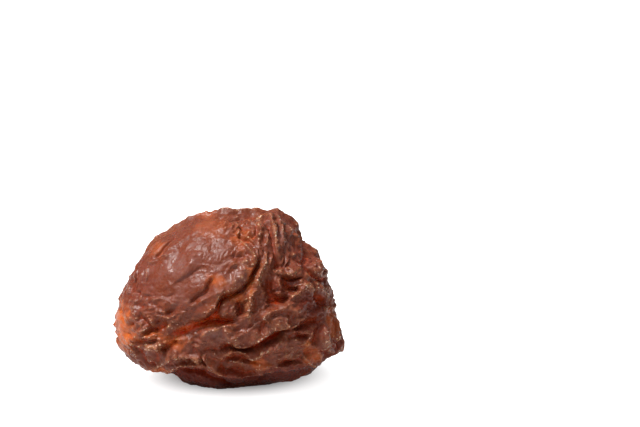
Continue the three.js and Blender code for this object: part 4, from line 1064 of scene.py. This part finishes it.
@dataclass(frozen=True)
class DriedSkin:
    """The finish of the skin: mauve bloom over reddish brown, a painted orange glow where thinner skin would let
    light through, a painted reddish glow in the creases, painted shade in hollows and low down, and sugary grains
    with a painted highlight and glints on its crests.
    """

    brown: Colour = (0.155, 0.033, 0.014, 1)
    mauve: Colour = (0.178, 0.061, 0.044, 1)
    crease_glow_red: Colour = (0.500, 0.056, 0.010, 1)
    glow_amber: Colour = (0.500, 0.105, 0.018, 1)
    shade_maroon: Colour = (0.130, 0.018, 0.010, 1)
    tan: Colour = (0.340, 0.135, 0.065, 1)
    sugar_and_glint: Colour = (0.750, 0.500, 0.360, 1)

    def material(self) -> bpy.types.Material:
        """Build the material."""
        material = bpy.data.materials.new("dried_skin")
        material.use_nodes = True
        bench = NodeBench(material.node_tree)
        shader = material.node_tree.nodes["Principled BSDF"]
        crest, crease_glow, painted_glow, deep = (bench.zone(name) for name in ("crest", "crease_glow", "painted_glow", "deep"))
        bloom, sugar_and_glint = bench.zone("bloom"), bench.zone("sugar_and_glint")

        patches = bench.remap(bench.noise(0.7, 4, 0.6, 0.4), 0.38, 0.64)
        dusted = bench.math("MULTIPLY", patches, bench.math("ADD", 0.25, bench.math("MULTIPLY", bloom, 0.75)))
        colour = bench.mix(dusted, self.brown, self.mauve)
        # Painted shade: darker in hollows, under the skirt, on the right side and low on the body, where shade
        # falls.
        colour = bench.mix(bench.math("MULTIPLY", deep, 0.9), colour, self.shade_maroon)
        # Reddish glow painted into the creases, where light would shine through the folded skin.
        colour = bench.mix(crease_glow, colour, self.crease_glow_red)
        # Orange glow painted where the skin is thinner and light would shine through it, on top of the real
        # subsurface scattering.
        blotch = bench.remap(bench.noise(1.1, 3, 0.6, 0.3), 0.35, 0.65)
        glow = bench.math("MULTIPLY", painted_glow, bench.math("ADD", 0.6, bench.math("MULTIPLY", blotch, 0.4)))
        colour = bench.mix(glow, colour, self.glow_amber)
        # Lighter tan on the crests and sugary spots: partly the skin's own sugary crust, partly a painted
        # highlight. The bright grains on them are painted glints.
        speckle = bench.remap(bench.noise(3.2, 2, 0.6), 0.42, 0.66)
        sugar_and_highlight = bench.math("ADD", bench.math("MULTIPLY", sugar_and_glint, 0.6), bench.math("MULTIPLY", crest, 0.7))
        sugar_and_highlight = bench.math("MULTIPLY", sugar_and_highlight, bench.remap(deep, 0.2, 0.9, (1, 0.25)))
        sugar_and_highlight_share = bench.math("MULTIPLY", sugar_and_highlight, bench.math("ADD", 0.2, bench.math("MULTIPLY", speckle, 0.8)))
        colour = bench.mix(bench.math("MINIMUM", sugar_and_highlight_share, 0.85), colour, self.tan)
        grains = bench.remap(bench.noise(5.5, 1, 0.5), 0.60, 0.69)
        painted_glint = bench.math("MULTIPLY", grains, bench.remap(sugar_and_highlight, 0.15, 0.8, (0.04, 0.95)))
        colour = bench.mix(painted_glint, colour, self.sugar_and_glint)
        bench.feed(shader.inputs["Base Color"], colour)

        dull = bench.noise(1.5, 3, 0.6)
        rough = bench.remap(dull, 0.3, 0.7, (0.20, 0.42))
        bench.feed(shader.inputs["Roughness"], bench.math("MULTIPLY", rough, bench.remap(deep, 0.2, 0.9, (1, 0.6))))
        shader.inputs["IOR"].default_value = 1.45
        shader.inputs["Specular IOR Level"].default_value = 0.21
        bench.feed(shader.inputs["Subsurface Weight"], bench.remap(crease_glow, 0, 1, (0.35, 0.9)))
        shader.inputs["Subsurface Radius"].default_value = (1.0, 0.28, 0.1)
        bench.feed(shader.inputs["Subsurface Scale"], bench.remap(crease_glow, 0, 1, (0.25 * MM, 0.6 * MM)))

        grit = bench.math("MULTIPLY", bench.noise(5.0, 3, 0.65), bench.remap(sugar_and_highlight, 0, 0.8, (0.3, 1.2)))
        wrinkle = bench.noise(2.2, 4, 0.6, 0.2)
        bump_height = bench.math("ADD", bench.math("MULTIPLY", wrinkle, bench.remap(bloom, 0, 1, (1.2, 0.4))), grit)
        bump = bench.add("Bump", {"Height": bump_height, "Strength": 0.7, "Distance": 0.09 * MM})
        bench.feed(shader.inputs["Normal"], bump.outputs["Normal"])
        return material


@dataclass
class Raisin:
    """The raisin: its skin as a mesh, with its finish."""

    skin: Skin = field(default_factory=Skin)
    finish: DriedSkin = field(default_factory=DriedSkin)

    def build(self) -> bpy.types.Object:
        """Make the raisin in place of the solid, and return it."""
        directions, faces = self.skin.cage.build()
        drawn, fields = self.skin.points(self.skin.berry.surface(directions), self.skin.lines())
        placed = self.skin.stand(drawn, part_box(NODE))
        mesh = bpy.data.meshes.new("raisin_skin")
        mesh.from_pydata(placed.tolist(), [], faces.tolist())
        mesh.shade_smooth()
        zones = self.skin.zones(placed, faces, fields)
        for name, values in vars(zones).items():
            layer = mesh.attributes.new(name, "FLOAT", "POINT")
            layer.data.foreach_set("value", values.astype(np.float32))
        mesh.materials.append(self.finish.material())
        piece = bpy.data.objects.new("raisin_skin", mesh)
        bpy.context.scene.collection.objects.link(piece)
        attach(piece, "root")
        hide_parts(NODE)
        return piece


@dataclass(frozen=True)
class Studio:
    """A pale floor, soft light and a camera at the photograph's viewing angle."""

    floor_size: float = 3.0
    floor_colour: Colour = (0.60, 0.60, 0.60, 1)
    floor_glow: Point2 = (0.13, 0.95)
    glow_reach: Point2 = (3.6 * MM, 8.4 * MM)
    shade_middle: Sequence[float] = (0.5 * MM, 3.5 * MM, 0)
    floor_bounce: float = 0.15
    sky_low: float = 0.10
    sky_high: float = 0.43
    window_strength: float = 1.6
    image_width: int = 640
    image_height: int = 427
    berry_pixel: Point2 = (229, 297.5)
    pixel: float = 0.0776 * MM
    view_drop: float = math.radians(12)
    lens: float = 150
    sensor: float = 36
    berry_height: float = 6.82 * MM

    def floor(self) -> bpy.types.Object:
        """Make the floor, which glows for the camera and carries a painted shadow round the raisin."""
        half = self.floor_size / 2
        mesh = bpy.data.meshes.new("floor")
        corners = [(-half, -half, 0), (half, -half, 0), (half, half, 0), (-half, half, 0)]
        mesh.from_pydata(corners, [], [(0, 1, 2, 3)])
        material = bpy.data.materials.new("floor")
        material.use_nodes = True
        shader = material.node_tree.nodes["Principled BSDF"]
        shader.inputs["Base Color"].default_value = self.floor_colour
        shader.inputs["Emission Color"].default_value = (1, 1, 1, 1)
        bench = NodeBench(material.node_tree)
        # Painted shadow: the glow is weakest near shade_middle, behind the raisin, and rises over glow_reach.
        # Camera rays see all of it, and other rays see only floor_bounce of it.
        away = bench.add("VectorMath", {"Vector": bench.add("TexCoord").outputs["Object"]}, operation="DISTANCE")
        away.inputs[1].default_value = self.shade_middle
        glow = bench.remap(away.outputs["Value"], *self.glow_reach, self.floor_glow)
        seen = bench.remap(bench.add("LightPath").outputs["Is Camera Ray"], 0, 1, (self.floor_bounce, 1))
        bench.feed(shader.inputs["Emission Strength"], bench.math("MULTIPLY", glow, seen))
        shader.inputs["Roughness"].default_value = 0.9
        mesh.materials.append(material)
        floor = bpy.data.objects.new("floor", mesh)
        bpy.context.scene.collection.objects.link(floor)
        return floor

    def softbox(self, name: str, place: Sequence[float], size: float, power: float, tint: Sequence[float]) -> None:
        """Hang a square light that faces the raisin.

        Args:
            name: The light's name.
            place: Where it hangs, in metres.
            size: Its side.
            power: Its power in watts.
            tint: Its colour.
        """
        light = bpy.data.lights.new(name, "AREA")
        light.size = size
        light.energy = power
        light.color = tint
        lamp = bpy.data.objects.new(name, light)
        lamp.location = place
        aim = Vector((0, 0, self.berry_height)) - Vector(place)
        lamp.rotation_euler = aim.to_track_quat("-Z", "Y").to_euler()
        bpy.context.scene.collection.objects.link(lamp)

    def lights(self) -> None:
        """Hang the lights and set the sky, which is brighter overhead than at the sides."""
        self.softbox("key", (-0.105, -0.035, 0.24), 0.05, 0.8, (1.0, 0.98, 0.96))
        sun = bpy.data.lights.new("window", "SUN")
        sun.energy = self.window_strength
        sun.angle = math.radians(60)
        window = bpy.data.objects.new("window", sun)
        window.rotation_euler = Vector((0.42, 0.24, -0.88)).to_track_quat("-Z", "Y").to_euler()
        bpy.context.scene.collection.objects.link(window)
        world = bpy.data.worlds.new("sky")
        world.use_nodes = True
        bench = NodeBench(world.node_tree)
        direction = bench.add("TexCoord").outputs["Generated"]
        height = bench.add("SeparateXYZ", {"Vector": direction}).outputs["Z"]
        strength = bench.remap(height, 0.1, 0.9, (self.sky_low, self.sky_high))
        bench.feed(world.node_tree.nodes["Background"].inputs["Strength"], strength)
        world.node_tree.nodes["Background"].inputs["Color"].default_value = (1, 1, 1, 1)
        bpy.context.scene.world = world

    def camera(self) -> None:
        """Set up the camera, so that the raisin stands in the frame where the photograph has it."""
        data = bpy.data.cameras.new("camera")
        data.lens = self.lens
        data.sensor_width = self.sensor
        data.clip_start = 0.005
        right = (self.image_width / 2 - self.berry_pixel[0]) * self.pixel
        rise = (self.berry_pixel[1] - self.image_height / 2) * self.pixel
        look = Vector((0, math.cos(self.view_drop), -math.sin(self.view_drop)))
        above = Vector((0, math.sin(self.view_drop), math.cos(self.view_drop)))
        aim = Vector((right, 0, self.berry_height)) + above * rise
        distance = self.lens / self.sensor * self.image_width * self.pixel
        camera = bpy.data.objects.new("camera", data)
        camera.location = aim - look * distance
        camera.rotation_euler = look.to_track_quat("-Z", "Y").to_euler()
        bpy.context.scene.collection.objects.link(camera)
        bpy.context.scene.camera = camera


def main() -> None:
    """Build the studio and the raisin."""
    logging.basicConfig(level=logging.INFO, format="%(name)s: %(message)s")
    studio = Studio()
    studio.camera()
    studio.floor()
    studio.lights()
    bpy.context.scene.view_settings.view_transform = "Standard"
    LOG.info("studio")
    piece = Raisin().build()
    LOG.info("%s: %d faces", piece.name, len(piece.data.polygons))


if __name__ == "__main__":
    main()
